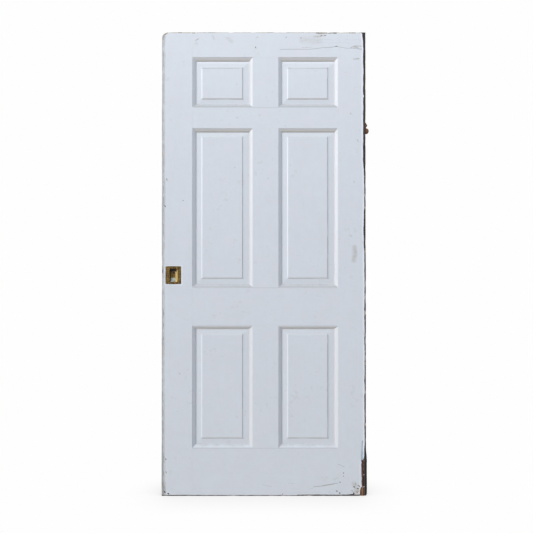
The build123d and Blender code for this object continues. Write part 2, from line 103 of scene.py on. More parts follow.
# ------------------------------------------------------------------ marks on the front face
# kind, width in mm, strength, points in view units
MARKS = [
    # long split across the right end of the top rail, and its branches
    ("crack", 1.2, 1.0, [(280, 49.6), (291, 49.5), (300, 49.4), (308, 49.6), (315, 49.0), (322.4, 47.8), (331, 47.6), (336.6, 46.5)]),
    ("crack", 1.2, 0.8, [(336.6, 46.5), (341.8, 47.6), (347.8, 48.6), (353.7, 48.2)]),
    ("chip", 2.8, 0.5, [(335.6, 46.4), (337.6, 46.5)]),
    ("crack", 1.1, 0.6, [(301.5, 47.9), (306, 47.4), (311.2, 47.7)]),
    ("crack", 1.6, 1.0, [(353.2, 48.4), (356, 48.2), (359, 49.0), (361.9, 49.4)]),
    ("crack", 1.4, 1.0, [(350.7, 47.6), (353.0, 46.9), (355.2, 46.0), (358, 46.1), (361.9, 46.5)]),
    ("stain", 34.0, 0.20, [(303, 40.0), (318, 41.0)]),
    ("stain", 12.0, 0.30, [(313.5, 37.0), (319, 35.2), (325, 35.6)]),
    ("chip", 2.6, 0.35, [(354.5, 46.9), (358.5, 47.4)]),
    # crackled place over it
    ("crack", 0.8, 0.5, [(300, 41.5), (308, 39.6), (317, 40.4), (325, 39.2), (334, 40.6)]),
    ("crack", 0.8, 0.5, [(312, 43.6), (321, 42.3), (329, 43.5), (340, 42.6), (350, 43.4)]),
    ("crack", 0.8, 0.4, [(344, 38.9), (351, 40.5), (358, 39.6), (361, 41.0)]),
    ("crack", 0.7, 0.4, [(320, 38.0), (322, 41.0), (321, 44.4)]),
    ("crack", 0.7, 0.4, [(338, 38.4), (340, 41.5), (338.5, 45.0)]),
    ("stain", 5.0, 0.8, [(314, 36.7), (318, 36.9), (322, 36.0), (326, 35.2)]),
    ("chip", 2.6, 0.6, [(320.6, 36.0), (321.8, 35.8)]),
    ("chip", 2.4, 0.6, [(324.8, 35.7), (325.6, 35.5)]),
    ("chip", 2.6, 0.5, [(300.6, 38.0), (301.4, 38.1)]),
    ("chip", 2.2, 0.5, [(285.8, 37.4), (286.6, 37.3)]),
    # small knocks, smudges and specks
    ("chip", 2.8, 0.30, [(195.4, 40.7), (196.8, 39.8), (198.2, 38.8)]),
    ("stain", 13.0, 0.24, [(195.4, 43.2), (196.6, 43.6)]),
    ("chip", 3.0, 0.55, [(255.2, 47.1), (256.0, 48.4)]),
    ("stain", 16.0, 0.30, [(227.8, 38.4), (231.8, 41.6)]),
    ("stain", 11.0, 0.28, [(212.6, 36.2), (214.0, 39.4)]),
    ("stain", 6.0, 0.5, [(256.2, 37.6), (258.0, 37.2)]),
    ("stain", 7.0, 0.8, [(354.0, 59.2), (358.8, 58.8)]),
    ("stain", 6.0, 0.5, [(350.4, 113.6), (351.8, 114.6)]),
    ("stain", 6.0, 0.4, [(236.2, 117.8), (238.2, 118.2)]),
    ("stain", 5.0, 0.45, [(259.0, 115.2), (260.2, 115.8)]),
    ("stain", 6.0, 0.5, [(357.4, 140.2), (358.4, 142.0)]),
    ("stain", 5.0, 0.5, [(353.8, 182.0), (354.4, 183.2)]),
    ("stain", 5.0, 0.4, [(267.4, 178.6), (268.6, 179.4)]),
    ("stain", 5.0, 0.4, [(234.2, 167.2), (235.2, 168.0)]),
    ("chip", 3.0, 1.0, [(164.8, 206.0), (165.2, 207.3)]),
    ("chip", 4.0, 0.3, [(166.4, 179.4), (166.9, 180.8)]),
    ("chip", 2.2, 0.8, [(182.8, 201.0), (183.3, 201.2)]),
    ("chip", 3.0, 0.9, [(165.8, 458.9), (166.2, 460.1)]),
    ("chip", 3.6, 0.3, [(166.1, 471.8), (166.5, 473.3)]),
    ("stain", 22.0, 0.55, [(354.5, 248.0), (355.2, 255.0), (353.8, 261.0)]),
    ("stain", 8.0, 0.5, [(350.2, 236.0), (351.4, 236.8)]),
    ("stain", 5.0, 0.5, [(179.0, 373.5), (180.2, 374.6)]),
    ("scratch", 1.0, 0.8, [(187.0, 402.6), (189.2, 403.6), (191.4, 403.9)]),
    ("scratch", 0.9, 0.7, [(187.6, 404.9), (190.6, 405.4)]),
    ("under", 5.5, 1.0, [(163.1, 269.6), (163.4, 272.2)]),
    ("crack", 0.9, 0.4, [(163.0, 270.0), (163.3, 272.2)]),
    # bottom rail
    ("scratch", 1.1, 0.8, [(262.0, 484.2), (266.0, 486.0), (272.0, 486.8)]),
    ("scratch", 1.0, 0.7, [(288.0, 483.9), (292.0, 483.5), (296.0, 483.8)]),
    ("scratch", 1.5, 1.0, [(313.0, 487.1), (321.0, 486.3), (329.0, 484.8), (338.0, 483.2)]),
    ("stain", 5.0, 0.6, [(322.0, 486.0), (334.0, 484.2)]),
    ("scratch", 1.0, 0.8, [(310.0, 489.1), (312.4, 488.8)]),
    ("scratch", 1.2, 0.9, [(337.4, 464.4), (340.4, 465.4), (344.2, 467.2)]),
    ("chip", 3.2, 0.7, [(343.1, 473.1), (343.5, 473.5)]),
    ("chip", 3.0, 0.6, [(343.1, 476.3), (343.4, 476.6)]),
    ("chip", 3.4, 0.7, [(339.6, 482.3), (340.0, 482.8)]),
    ("chip", 4.4, 0.7, [(353.5, 486.8), (354.2, 487.3)]),
    ("chip", 4.6, 0.8, [(357.3, 488.6), (358.0, 489.1)]),
    ("chip", 4.4, 0.7, [(357.0, 492.7), (357.6, 493.2)]),
    ("chip", 4.0, 0.6, [(353.2, 493.3), (353.8, 493.6)]),
    ("chip", 3.0, 0.4, [(355.2, 483.6), (355.8, 484.6)]),
    ("chip", 3.0, 0.4, [(351.4, 490.6), (352.2, 491.2)]),
    ("stain", 22.0, 0.5, [(354.0, 484.0), (356.0, 489.0), (355.0, 493.5)]),
    # lower end of the back edge: peeled coat, under-paint and broken wood
    ("under", 9.0, 1.0, [(361.9, 452.0), (361.6, 456.0), (361.8, 460.6)]),
    ("under", 5.5, 1.0, [(362.2, 441.5), (361.9, 447.0), (361.8, 452.0)]),
    ("chip", 6.0, 0.9, [(361.4, 460.6), (361.8, 463.0), (361.4, 465.4)]),
    ("chip", 7.0, 1.0, [(362.8, 462.0), (363.0, 474.0), (362.4, 483.0), (362.6, 495.0)]),
    ("chip", 13.0, 0.9, [(361.6, 488.4), (361.0, 491.2), (360.8, 496.0)]),
    ("chip", 4.0, 0.35, [(357.6, 485.4), (359.4, 486.6)]),
    ("chip", 5.0, 0.30, [(355.8, 491.6), (358.6, 491.2)]),
    ("pale", 2.4, 0.22, [(364.0, 455.5), (363.8, 470.0), (363.9, 486.0)]),
    ("pale", 2.6, 0.9, [(361.8, 475.3), (363.6, 475.0)]),
    ("pale", 3.2, 1.0, [(362.4, 487.3), (363.6, 487.0)]),
    ("pale", 3.0, 0.7, [(362.0, 464.4), (362.5, 464.8)]),
    ("pale", 3.0, 0.6, [(361.8, 468.9), (362.3, 469.1)]),
    ("dark", 3.4, 0.75, [(361.9, 464.5), (362.0, 470.0), (361.9, 480.0), (362.0, 486.0)]),
    ("dark", 4.8, 1.0, [(362.4, 471.2), (362.9, 473.6)]),
    ("dark", 3.8, 0.9, [(362.7, 476.8), (362.8, 480.4), (362.9, 482.6)]),
    ("dark", 4.8, 1.0, [(362.5, 483.8), (362.9, 485.6)]),
    ("dark", 3.6, 0.8, [(361.7, 465.8), (362.6, 467.2)]),
    ("dark", 3.2, 0.6, [(362.4, 461.2), (363.0, 463.0)]),
    ("dark", 4.0, 0.7, [(360.6, 488.6), (361.2, 490.6)]),
    ("dark", 3.6, 0.9, [(359.0, 492.6), (360.4, 491.4)]),
    ("pale", 5.0, 0.9, [(356.8, 490.7), (359.4, 490.0)]),
    ("pale", 5.0, 0.9, [(356.4, 493.4), (358.4, 493.0)]),
    ("pale", 5.0, 0.5, [(350.6, 491.4), (351.6, 493.4)]),
    ("chip", 5.4, 0.95, [(349.4, 495.0), (353.0, 494.8)]),
    ("chip", 4.0, 0.95, [(353.4, 493.2), (353.8, 495.4)]),
    ("chip", 5.0, 0.9, [(356.0, 495.6), (359.0, 495.2), (364.0, 494.8)]),
    # bottom corner of the leading edge and notches along the bottom
    ("chip", 4.5, 0.8, [(164.6, 491.6), (165.2, 492.6)]),
    ("chip", 4.5, 0.9, [(168.0, 493.6), (168.8, 494.1)]),
    ("chip", 3.0, 0.5, [(282.2, 494.2), (282.9, 494.4)]),
    ("chip", 4.0, 0.6, [(336.2, 491.2), (336.9, 491.5)]),
    ("chip", 4.0, 0.7, [(339.2, 493.0), (339.9, 493.4)]),
    # top edge
    ("chip", 5.0, 0.35, [(192.4, 32.9), (194.6, 32.9)]),
    ("chip", 6.0, 0.45, [(316.5, 32.8), (322.0, 33.1), (329.0, 32.8), (336.4, 33.0)]),
    ("chip", 5.0, 0.35, [(349.4, 32.9), (355.6, 32.9)]),
    ("chip", 6.5, 0.30, [(164.6, 34.6), (166.6, 33.3)]),
]


SHOULDERS_X = {"left": (-278.5, -95.3), "right": (107.9, 289.5)}
SHOULDERS_Z = {"top": (1785.2, 1924.5), "middle": (976.3, 1611.8), "bottom": (257.1, 721.7)}


def build_marks(face):
    """Marks as arrays of segments, with the side of the leaf they are on (-1 front, 1 back)."""
    out = []
    for kind, width, strength, pts in MARKS:
        mm = [at(*p) for p in pts]
        out.append((kind, width, strength, mm, -1))
    rng = np.random.default_rng(20417)
    kinds = ["chip", "scratch", "stain", "crack", "chip", "stain"]
    for i in range(70):
        kind = kinds[i % len(kinds)]
        x, z = rng.uniform(XL + 12, XR - 12), rng.uniform(15, H - 15)
        if i % 3 == 0:
            z = rng.choice([rng.uniform(5, 200), rng.uniform(1975, 2070), rng.uniform(765, 930)])
        length = {"chip": 6, "scratch": 60, "stain": 14, "crack": 45}[kind] * rng.uniform(0.4, 1.5)
        ang = rng.uniform(-0.5, 0.5) + (math.pi / 2 if abs(x) > 340 else 0)
        step = length / 3
        pts = [(x, z)]
        for _ in range(3):
            ang += rng.uniform(-0.35, 0.35)
            pts.append((pts[-1][0] + step * math.cos(ang), pts[-1][1] + step * math.sin(ang)))
        width = {"chip": 3.4, "scratch": 1.0, "stain": 9.0, "crack": 0.9}[kind] * rng.uniform(0.7, 1.3)
        out.append((kind, width, rng.uniform(0.3, 0.9), pts, 1))
    return out


ALL_MARKS = build_marks(None)


def to_stroke(p2, pts):
    """Distance in mm from the points p2 (N, 2) to an open line."""
    best = np.full(len(p2), 1e9)
    for a, b in zip(pts[:-1], pts[1:]):
        a, b = np.array(a), np.array(b)
        d = b - a
        t = np.clip(((p2 - a) @ d) / max(d @ d, 1e-9), 0, 1)
        best = np.minimum(best, np.linalg.norm(p2 - (a + t[:, None] * d), axis=1))
    return best


# ------------------------------------------------------------------ dense copies of the wooden members
def cut_all(bm, axis, values):
    no = [0.0, 0.0, 0.0]
    no[axis] = 1.0

    def rec(faces, vals):
        if not vals or not faces:
            return
        m = len(vals) // 2
        co = [0.0, 0.0, 0.0]
        co[axis] = vals[m]
        verts, edges = set(), set()
        for f in faces:
            verts.update(f.verts)
            edges.update(f.edges)
        res = bmesh.ops.bisect_plane(
            bm, geom=list(verts) + list(edges) + list(faces), dist=2e-3, plane_co=co, plane_no=no
        )
        now = [g for g in res["geom"] if isinstance(g, bmesh.types.BMFace)]
        lo, hi = [], []
        for f in now:
            (lo if f.calc_center_bounds()[axis] < vals[m] else hi).append(f)
        rec(lo, vals[:m])
        rec(hi, vals[m + 1 :])

    rec(list(bm.faces), sorted(values))


def steps(lo, hi, size):
    n = max(1, int(round((hi - lo) / size)))
    return [lo + (hi - lo) * i / n for i in range(1, n)]


def dense_mesh(node, step_x, step_z, step_y=None, extra_x=(), extra_z=()):
    """The member's own mesh, cut into small cells; vertices in millimetres."""
    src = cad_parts[node].data
    bm = bmesh.new()
    bm.from_mesh(src)
    for v in bm.verts:
        v.co *= 1000.0
    bmesh.ops.remove_doubles(bm, verts=bm.verts[:], dist=1e-3)
    bmesh.ops.dissolve_limit(
        bm, angle_limit=math.radians(0.4), verts=bm.verts[:], edges=bm.edges[:], use_dissolve_boundaries=False
    )
    co = np.array([v.co for v in bm.verts])
    lo, hi = co.min(0), co.max(0)
    cut_all(bm, 2, [z for z in steps(lo[2], hi[2], step_z) + list(extra_z) if lo[2] + 0.3 < z < hi[2] - 0.3])
    cut_all(bm, 0, [x for x in steps(lo[0], hi[0], step_x) + list(extra_x) if lo[0] + 0.3 < x < hi[0] - 0.3])
    if step_y:
        cut_all(bm, 1, steps(lo[1], hi[1], step_y))
    return bm


def refine(bm, rounds=2):
    """Smaller cells round the marks."""
    for r in range(rounds):
        bm.faces.ensure_lookup_table()
        cen = np.array([f.calc_center_median() for f in bm.faces])
        pick = np.zeros(len(cen), bool)
        for kind, width, strength, pts, side in ALL_MARKS:
            if kind == "stain" and width > 12:
                continue
            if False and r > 0:
                continue
            a = np.array(pts)
            reach = width / 2 + (2.2 if r == 0 else 1.2)
            near = (
                (cen[:, 0] > a[:, 0].min() - reach - 3)
                & (cen[:, 0] < a[:, 0].max() + reach + 3)
                & (cen[:, 2] > a[:, 1].min() - reach - 3)
                & (cen[:, 2] < a[:, 1].max() + reach + 3)
                & (cen[:, 1] * side > 4.0)
            )
            idx = np.nonzero(near)[0]
            if len(idx):
                d = to_stroke(cen[idx][:, (0, 2)], pts)
                pick[idx[d < reach + (1.6 if r == 0 else 0.6)]] = True
        if not pick.any():
            return
        limit = 1.6 if r == 0 else 1.1
        edges = set()
        for i in np.nonzero(pick)[0]:
            for e in bm.faces[i].edges:
                if e.calc_length() > limit:
                    edges.add(e)
        bmesh.ops.subdivide_edges(bm, edges=list(edges), cuts=1, use_grid_fill=True)


# The paint's worn border along the back edge: (view height, inner limit, how deep down to the wood)
BACK_STRIP = np.array([
    (32, 362.0, 0.9), (36, 362.5, 0.9), (41, 363.0, 0.9), (52, 363.3, 1.0), (60, 363.1, 0.8), (75, 363.3, 0.9),
    (88, 363.1, 0.9), (95, 363.4, 0.9), (96.5, 364.2, 0.7), (98, 363.2, 0.9), (112, 363.2, 0.9), (124, 363.2, 1.0),
    (136, 363.0, 1.1), (150, 363.0, 1.1), (160, 363.1, 1.1), (165, 363.5, 0.9), (168, 363.6, 0.8), (178, 363.8, 0.7),
    (184, 364.2, 0.6), (196, 364.3, 0.6), (208, 364.2, 0.6), (213, 363.7, 0.7), (222, 363.5, 0.8), (236, 363.6, 0.8),
    (245, 363.8, 0.7), (252, 364.2, 0.62), (299, 364.3, 0.62), (305, 364.0, 0.66), (311, 364.2, 0.62), (350, 364.2, 0.60),
    (400, 364.2, 0.62), (430, 364.2, 0.66), (448, 364.1, 0.7), (453, 363.6, 0.9), (459, 363.2, 1.0), (462, 361.9, 1.0),
    (465, 361.1, 1.0), (470, 361.0, 1.0), (482, 361.1, 1.0), (486, 361.6, 1.0), (488.5, 361.0, 0.9), (491, 360.0, 0.9),
    (497, 360.2, 0.9),
])
# The rubbed border of the leading edge
LEAD_BAND = np.array([
    (32, 166.2), (45, 164.8), (60, 165.1), (90, 164.5), (130, 165.0), (170, 164.7), (200, 165.3), (230, 164.9),
    (262, 164.3), (290, 164.7), (330, 165.1), (370, 164.6), (410, 164.9), (450, 165.1), (480, 165.5), (497, 166.3),
])


def front_strips(x, z, seed):
    v = 496.0 - z / PX
    p = np.stack([x * 0, z * 0 + seed, z], 1)
    wob = noise(p, 26, 3 + seed, 3) * 1.8 + noise(p, 7, 8 + seed, 2) * 0.8
    inner = (np.interp(v, BACK_STRIP[:, 0], BACK_STRIP[:, 1]) - 263.62) * PX
    deep = np.interp(v, BACK_STRIP[:, 0], BACK_STRIP[:, 2])
    lead = (np.interp(v, LEAD_BAND[:, 0], LEAD_BAND[:, 1]) - 263.62) * PX
    return x - inner + wob, deep, lead - x + wob * 1.4


def finish_wood(bm, name, mat):
    """Wear, dents, the paint's own state and painted light and shade, written on the member's vertices."""
    me = bpy.data.meshes.new(name + "_shape")
    bm.normal_update()
    nrm = np.array([v.normal for v in bm.verts])
    bm.to_mesh(me)
    bm.free()
    n = len(me.vertices)
    P = np.empty(n * 3)
    me.vertices.foreach_get("co", P)
    P = P.reshape(-1, 3)
    base = P.copy()
    x, y, z = base[:, 0], base[:, 1], base[:, 2]
    side = np.sign(y)
    on_face = (np.abs(y) > HT - 0.05)
    is_panel = name.startswith("panel")
    stile_l, stile_r = name == "lock_stile", name == "back_stile"
    on_left = stile_l & (x < XL + 0.05)
    on_right = stile_r & (x > XR - 0.05)
    on_top, on_foot = z > H - 0.05, z < 0.05
    peel = np.full(n, -8.0)
    deep = np.full(n, 0.4)
    crack = np.full(n, -4.0)
    stain = np.zeros(n)
    rub = np.full(n, -12.0)
    under = np.full(n, -8.0)
    ridge_and_painted_light, broken, tone = np.zeros(n), np.zeros(n), np.zeros(n)

    def paint_off(d, level):
        better = d > peel
        peel[better] = d[better]
        deep[better] = (level if np.ndim(level) else np.full(n, level))[better]

    # broad borders
    if stile_l or stile_r:
        strip, sdeep, lead = front_strips(x, z, 0)
        strip_b, sdeep_b, lead_b = front_strips(x, z, 7)
        front = y < -4.5
        if stile_r:
            s = np.where(front, strip, strip_b - 1.5)
            # a raised paint ridge along the worn border, with a painted highlight in the lighter coat
            ridge_and_painted_light = ramp(s, -6.5, -3.4) * ramp(s, 0.4, -1.2) * (np.abs(y) > HT - 0.3) * ramp(noise(base, (60, 60, 34), 34, 2), -0.75, -0.2)
            paint_off(np.clip(s, -8, 6) * np.where(x > X_STILE_R + 20, 1, 0) - np.where(x > X_STILE_R + 20, 0, 8), np.where(front, sdeep, 0.7))
            edge = np.where(x > XR - 2.2, 6.0 - 0.0 * y, -8.0)
            paint_off(np.where(np.abs(y) < HT - 1.2, edge, -8.0), 0.85)
        if stile_l:
            q = np.maximum(np.abs(x + 405.6) - 35.0, np.abs(z - 988.9) - 39.6)
            # a raised ring of paint round the pull plate, in the lighter coat
            ridge_and_painted_light = 0.7 * ramp(q, 0.0, 1.5) * ramp(q, 7.0, 3.0) * (np.abs(y) > HT - 0.3) * ramp(noise(base, 14, 35, 2), -0.7, 0.1)
            # paint of the leading edge, rubbed through in long patches
            e = np.where(x < XL + 5.5, -1.6 + 3.4 * noise(base, (60, 9, 120), 31, 3) + 1.2 * noise(base, (20, 4, 14), 32, 2), -8.0)
            paint_off(e, 0.35 + 0.25 * noise(base, 90, 33))
            b = np.where(front, lead, lead_b)
            rub = np.clip(b, -12, 12)
    if not (stile_l or stile_r):
        e = -1.6 + 3.4 * noise(base, (60, 9, 120), 31, 3) + 1.2 * noise(base, (20, 4, 14), 32, 2)
        paint_off(np.where(x < XL + 1.0, e, -8.0), 0.35 + 0.25 * noise(base, 90, 33))
        paint_off(np.where(x > XR - 1.0, 6.0, -8.0), 0.85)
        rub = np.where(x < XL + 3.0, np.clip(front_strips(x, z, 0)[2], -12, 12), rub)
    bare_end = 3.2 + 3.0 * noise(base, 60, 41, 3)
    paint_off(np.where(on_top, bare_end, -8.0), 0.45)
    paint_off(np.where(on_foot, 6.0, -8.0), 0.9)
    # a thin broken border of paint along the top and the foot of both faces
    top_gap = 1.2 + 1.8 * noise(base, (30, 50, 50), 43, 3) - (H - z)
    foot_gap = 3.1 + 2.4 * noise(base, (30, 50, 50), 44, 3) - z + np.where(x > 150, 2.2, 0)
    paint_off(np.where(on_face | (z > H - 3) | (z < 5), np.maximum(np.where(z > H - 14, top_gap, -8), np.where(z < 20, foot_gap, -8)), -8.0), np.where(z > 1000, 0.3, 0.85))

    # single marks
    pits = np.zeros(n)
    for kind, width, strength, pts, where in ALL_MARKS:
        a = np.array(pts)
        reach = 14 + width
        near = (
            (x > a[:, 0].min() - reach) & (x < a[:, 0].max() + reach)
            & (z > a[:, 1].min() - reach) & (z < a[:, 1].max() + reach)
            & (y * where > 3.0)
        )
        idx = np.nonzero(near)[0]
        if not len(idx):
            continue
        d = to_stroke(base[idx][:, (0, 2)], pts)
        s = width / 2 - d
        if kind == "chip":
            up = s > peel[idx]
            peel[idx[up]] = np.maximum(s[up], -8)
            deep[idx[up]] = strength
            pits[idx] = np.maximum(pits[idx], 0.45 * strength * ramp(s, -0.8, 0.6))
        elif kind == "crack":
            crack[idx] = np.maximum(crack[idx], s * 1.0 - (1 - strength) * 0.35)
            pits[idx] = np.maximum(pits[idx], 0.35 * strength * ramp(s, -0.9, 0.1))
        elif kind == "scratch":
            crack[idx] = np.maximum(crack[idx], s - (1 - strength) * 0.5 - 0.1)
        elif kind == "pale":
            tone[idx] = np.maximum(tone[idx], strength * ramp(s, -1.2, 0.8))
        elif kind == "dark":
            soft_in = strength * ramp(s, -1.2, 0.8)
            tone[idx] = np.where(soft_in > 0.02, -soft_in, tone[idx])
        elif kind == "under":
            under[idx] = np.maximum(under[idx], s)
            pits[idx] = np.maximum(pits[idx], 0.35 * ramp(s, -0.8, 0.6))
        else:
            stain[idx] = np.maximum(stain[idx], strength * ramp(d, width * 0.75, width * 0.1))

    # shape: slight unevenness of hand-planed wood
    move = np.zeros((n, 3))
    crease_painted_shade = np.zeros(n)
    if is_panel:
        _, row, column = name.split("_")
        sx, sz = SHOULDERS_X[column], SHOULDERS_Z[row]
        inside = (z > sz[0] - 5) & (z < sz[1] + 5) & (x > sx[0] - 5) & (x < sx[1] + 5)
        # painted shade: dark lines along the field's right and lower shoulders, and along its upper shoulder in the top
        # row
        right = 1.15 * ramp(np.abs(x - sx[1] + (2.2 if column == "right" else 0.2)), 2.6, 0.6)
        low = 1.1 * ramp(np.abs(z - sz[0] + 2.8), 2.3, 0.6)
        left = 0.0 * x
        up = (1.1 if row == "top" else 0.0) * ramp(np.abs(z - sz[1] + 2.2), 2.8, 0.8) * ramp(noise(base, (26, 90, 90), 58, 2), -0.75, -0.1)
        crease_painted_shade = np.maximum(np.maximum(right, low), np.maximum(left, up)) * inside
        crease_painted_shade = crease_painted_shade * ramp(noise(base, (40, 40, 40), 57, 2), -1.1, 0.3)
        # painted light: the rims next to the moulding are lightened against their shadow, and the left shoulder gets a
        # painted highlight
        ridge_and_painted_light = np.maximum(ramp(x, sx[0] - 26.0, sx[0] - 31.0), 1.15 * ramp(z, sz[1] + 22.0, sz[1] + 27.0))
        ridge_and_painted_light = np.maximum(ridge_and_painted_light, 0.4 * ramp(np.abs(x - sx[0] + 1.6), 2.6, 0.8) * inside)
        body = ramp(np.abs(y), 6.5, 9.0)
        move[:, 1] += side * body * (0.25 * noise(base, 160, 51) + 0.06 * noise(base, 30, 52))
    else:
        level = ramp(np.abs(y), HT - 0.6, HT - 0.1)
        uneven = 0.16 * noise(base, (130, 300, 130), 53) + 0.05 * noise(base, (28, 300, 28), 54)
        move[:, 1] += side * (0.75 if stile_r else 0.5) * ridge_and_painted_light
        near_pull = ramp(np.maximum(np.abs(x + 405.6) / 42, np.abs(z - 988.9) / 46), 0.95, 1.25)
        move[:, 1] += side * (uneven - 0.1) * level * near_pull
        # mouldings: softened by many coats
        in_moulding = (np.abs(y) < HT - 1.0) & (np.abs(y) > 5.3)
        soft = 0.12 * noise(base, (9, 9, 9), 55, 2) + 0.1 * noise(base, (40, 40, 40), 56)
        move += nrm * (soft * in_moulding * (np.abs(x) < 345))[:, None]
        # many coats have filled the round of the moulding towards a flat slope
        w0, d0 = 11.5, 7.6
        big_r = (w0 * w0 + d0 * d0) / (2 * d0)
        d = np.clip(HT - np.abs(y) - 1.6, 0, d0)
        u = np.sqrt(np.maximum(big_r**2 - (big_r - d) ** 2, 0))
        flatten = np.where(nrm[:, 2] < -0.2, 0.36, 0.68) * (d0 * u / w0 - d) * in_moulding * (np.abs(x) < 345)
        move[:, 1] -= side * np.maximum(flatten, 0)
        deep_in = ramp(np.abs(y), HT - 4.5, HT - 6.5) * in_moulding * (np.abs(x) < 345)
        # painted light: the deep, right-facing part of the mouldings gets the lighter coat against its shade
        ridge_and_painted_light = np.maximum(ridge_and_painted_light, deep_in * (nrm[:, 0] > 0.3))
        within = (x > X_STILE_L + 3) & (x < X_STILE_R - 3)
        # painted shade and light on the rails: dark lines along their mouldings, and the lighter coat on the deep part
        # of the mouldings against their shade
        for rail, z0, z1 in (("top_rail", Z_TOP, None), ("frieze_rail", *Z_FRIEZE), ("lock_rail", *Z_LOCK), ("bottom_rail", None, Z_BOTTOM)):
            if name != rail:
                continue
            if z0 is not None:
                t = z0 - z
                crease_painted_shade = np.maximum(crease_painted_shade, (1.1 if rail == "lock_rail" else 0.75) * ramp(np.abs(t - (7.4 if rail == "lock_rail" else 5.2)), 3.4, 1.2) * within)
                ridge_and_painted_light = np.maximum(ridge_and_painted_light, 0.9 * ramp(t, 8.0, 9.6) * in_moulding)
            if z1 is not None:
                t = z - z1
                if rail == "bottom_rail":
                    crease_painted_shade = np.maximum(crease_painted_shade, 0.45 * ramp(np.abs(t + 0.6), 2.4, 0.8) * within)
                    ridge_and_painted_light = np.maximum(ridge_and_painted_light, 0.9 * ramp(t, 1.6, 3.0) * in_moulding)
                else:
                    crease_painted_shade = np.maximum(crease_painted_shade, (0.95 if rail == "frieze_rail" else 0.75) * ramp(np.abs(t - 2.8), 5.0, 2.0) * within)
        if stile_l:
            w = np.exp(-np.maximum(x - XL, 0) / 9.0)
            line = 0.75 * noise(np.stack([x * 0, y * 0.3, z], 1), 85, 61, 2) + 0.3 * noise(base, (50, 30, 17), 62, 2) - 0.9 - 0.5 * ramp(z, 500, 380)
            clear = ramp(np.abs(z - 989.0), 66, 90)
            move[:, 0] += w * np.maximum(line, -2.0) * clear
            arris = np.exp(-((x - XL - 1.8) ** 2 + (np.abs(y) - HT + 1.8) ** 2) / 9.0)
            bite = np.maximum(0, noise(base, (30, 30, 22), 63, 3) - 0.25) * 2.6
            move[:, 0] += arris * bite * clear
            move[:, 1] -= side * arris * bite * 0.6 * clear
        if stile_r:
            w = np.exp(-np.maximum(XR - x, 0) / 9.0)
            line = 0.6 * noise(np.stack([x * 0, y * 0.3, z], 1), 110, 64, 2) + 0.25 * noise(base, (50, 30, 14), 65, 2) + 0.2
            line = line + 0.7 + 0.7 * ramp(z, 1150, 1000) + 4.7 * ramp(z, 215, 165) - 2.2 * ramp(z, 12, 3)
            clear = ramp(np.abs(z - 1652.0), 30, 44)
            move[:, 0] += w * np.minimum(line, 6.4) * clear
            arris = np.exp(-((XR - x) ** 2 + (np.abs(y) - HT) ** 2) / 12.0)
            bite = np.maximum(0, noise(base, (30, 30, 26), 66, 3) - 0.05) * 2.4
            move[:, 0] -= arris * bite * clear
            move[:, 1] -= side * arris * bite * 0.7 * clear
        # knocked arrises at the top and the foot
        for edge, s in ((H, -1), (0.0, 1)):
            a2 = np.exp(-(((z - edge) / 2.2) ** 2 + ((np.abs(y) - HT) / 2.2) ** 2))
            bite = np.maximum(0, noise(base, (26, 30, 30), 67, 3) - 0.1) * 2.6
            move[:, 2] += s * a2 * bite
            move[:, 1] -= side * a2 * bite * 0.7
    # broken wood at the foot of the back edge
    if stile_r:
        front_foot = (y < 0) & (z < 172)
        broken = np.where(front_foot, ramp(x, XR - 34, XR - 26) * ramp(x, XR - 5.9, XR - 6.7), 0) * ramp(z, 174, 164)
        deep = np.where((y < 0) & (z < 182) & (x > XR - 6.3) & (peel > -2), 1.95, deep)
        torn = (x > XR - 16.5) & (z < 151) & (y < -HT + 6.5) & (y > -HT + 0.02) & (y < -4)
        zone = (x > XR - 22) & (z < 151) & (y < -4)
        paint_off(np.where(zone, np.minimum(x - (XR - 18.6), 147 - z) + 1.6 * noise(base, 8, 71, 2), -8.0), np.where(x > XR - 6.3, 1.95, 0.9))
        rough = 0.5 * noise(base, (3.5, 6, 26), 72, 3) + 0.25 * noise(base, (1.5, 3, 9), 73, 2)
        move[:, 1] += np.where(zone & (x > XR - 14) & (x < XR - 0.2), np.maximum(rough, -0.4), 0)
    pit_side = side * pits
    move[:, 1] -= pit_side
    P = base + move
    me.vertices.foreach_set("co", (P / 1000.0).ravel())

    grime = np.clip(0.5 + 0.5 * noise(base, 120, 81, 3), 0, 1)
    for label, values in (("peel", peel), ("deep", deep), ("crack", crack), ("stain", stain), ("rub", rub), ("under", under), ("grime", grime), ("ridge_and_painted_light", ridge_and_painted_light), ("crease_painted_shade", crease_painted_shade), ("broken", broken), ("tone", tone)):
        attr = me.attributes.new(label, "FLOAT", "POINT")
        attr.data.foreach_set("value", np.asarray(values, np.float32))
    me.materials.append(mat)
    me.polygons.foreach_set("use_smooth", np.ones(len(me.polygons), bool))
    me.set_sharp_from_angle(angle=math.radians(24))
    me.update()
    ob = bpy.data.objects.new(name + "_wood", me)
    bpy.context.scene.collection.objects.link(ob)
    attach(ob, "leaf")
    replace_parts(ob, name)
    return ob


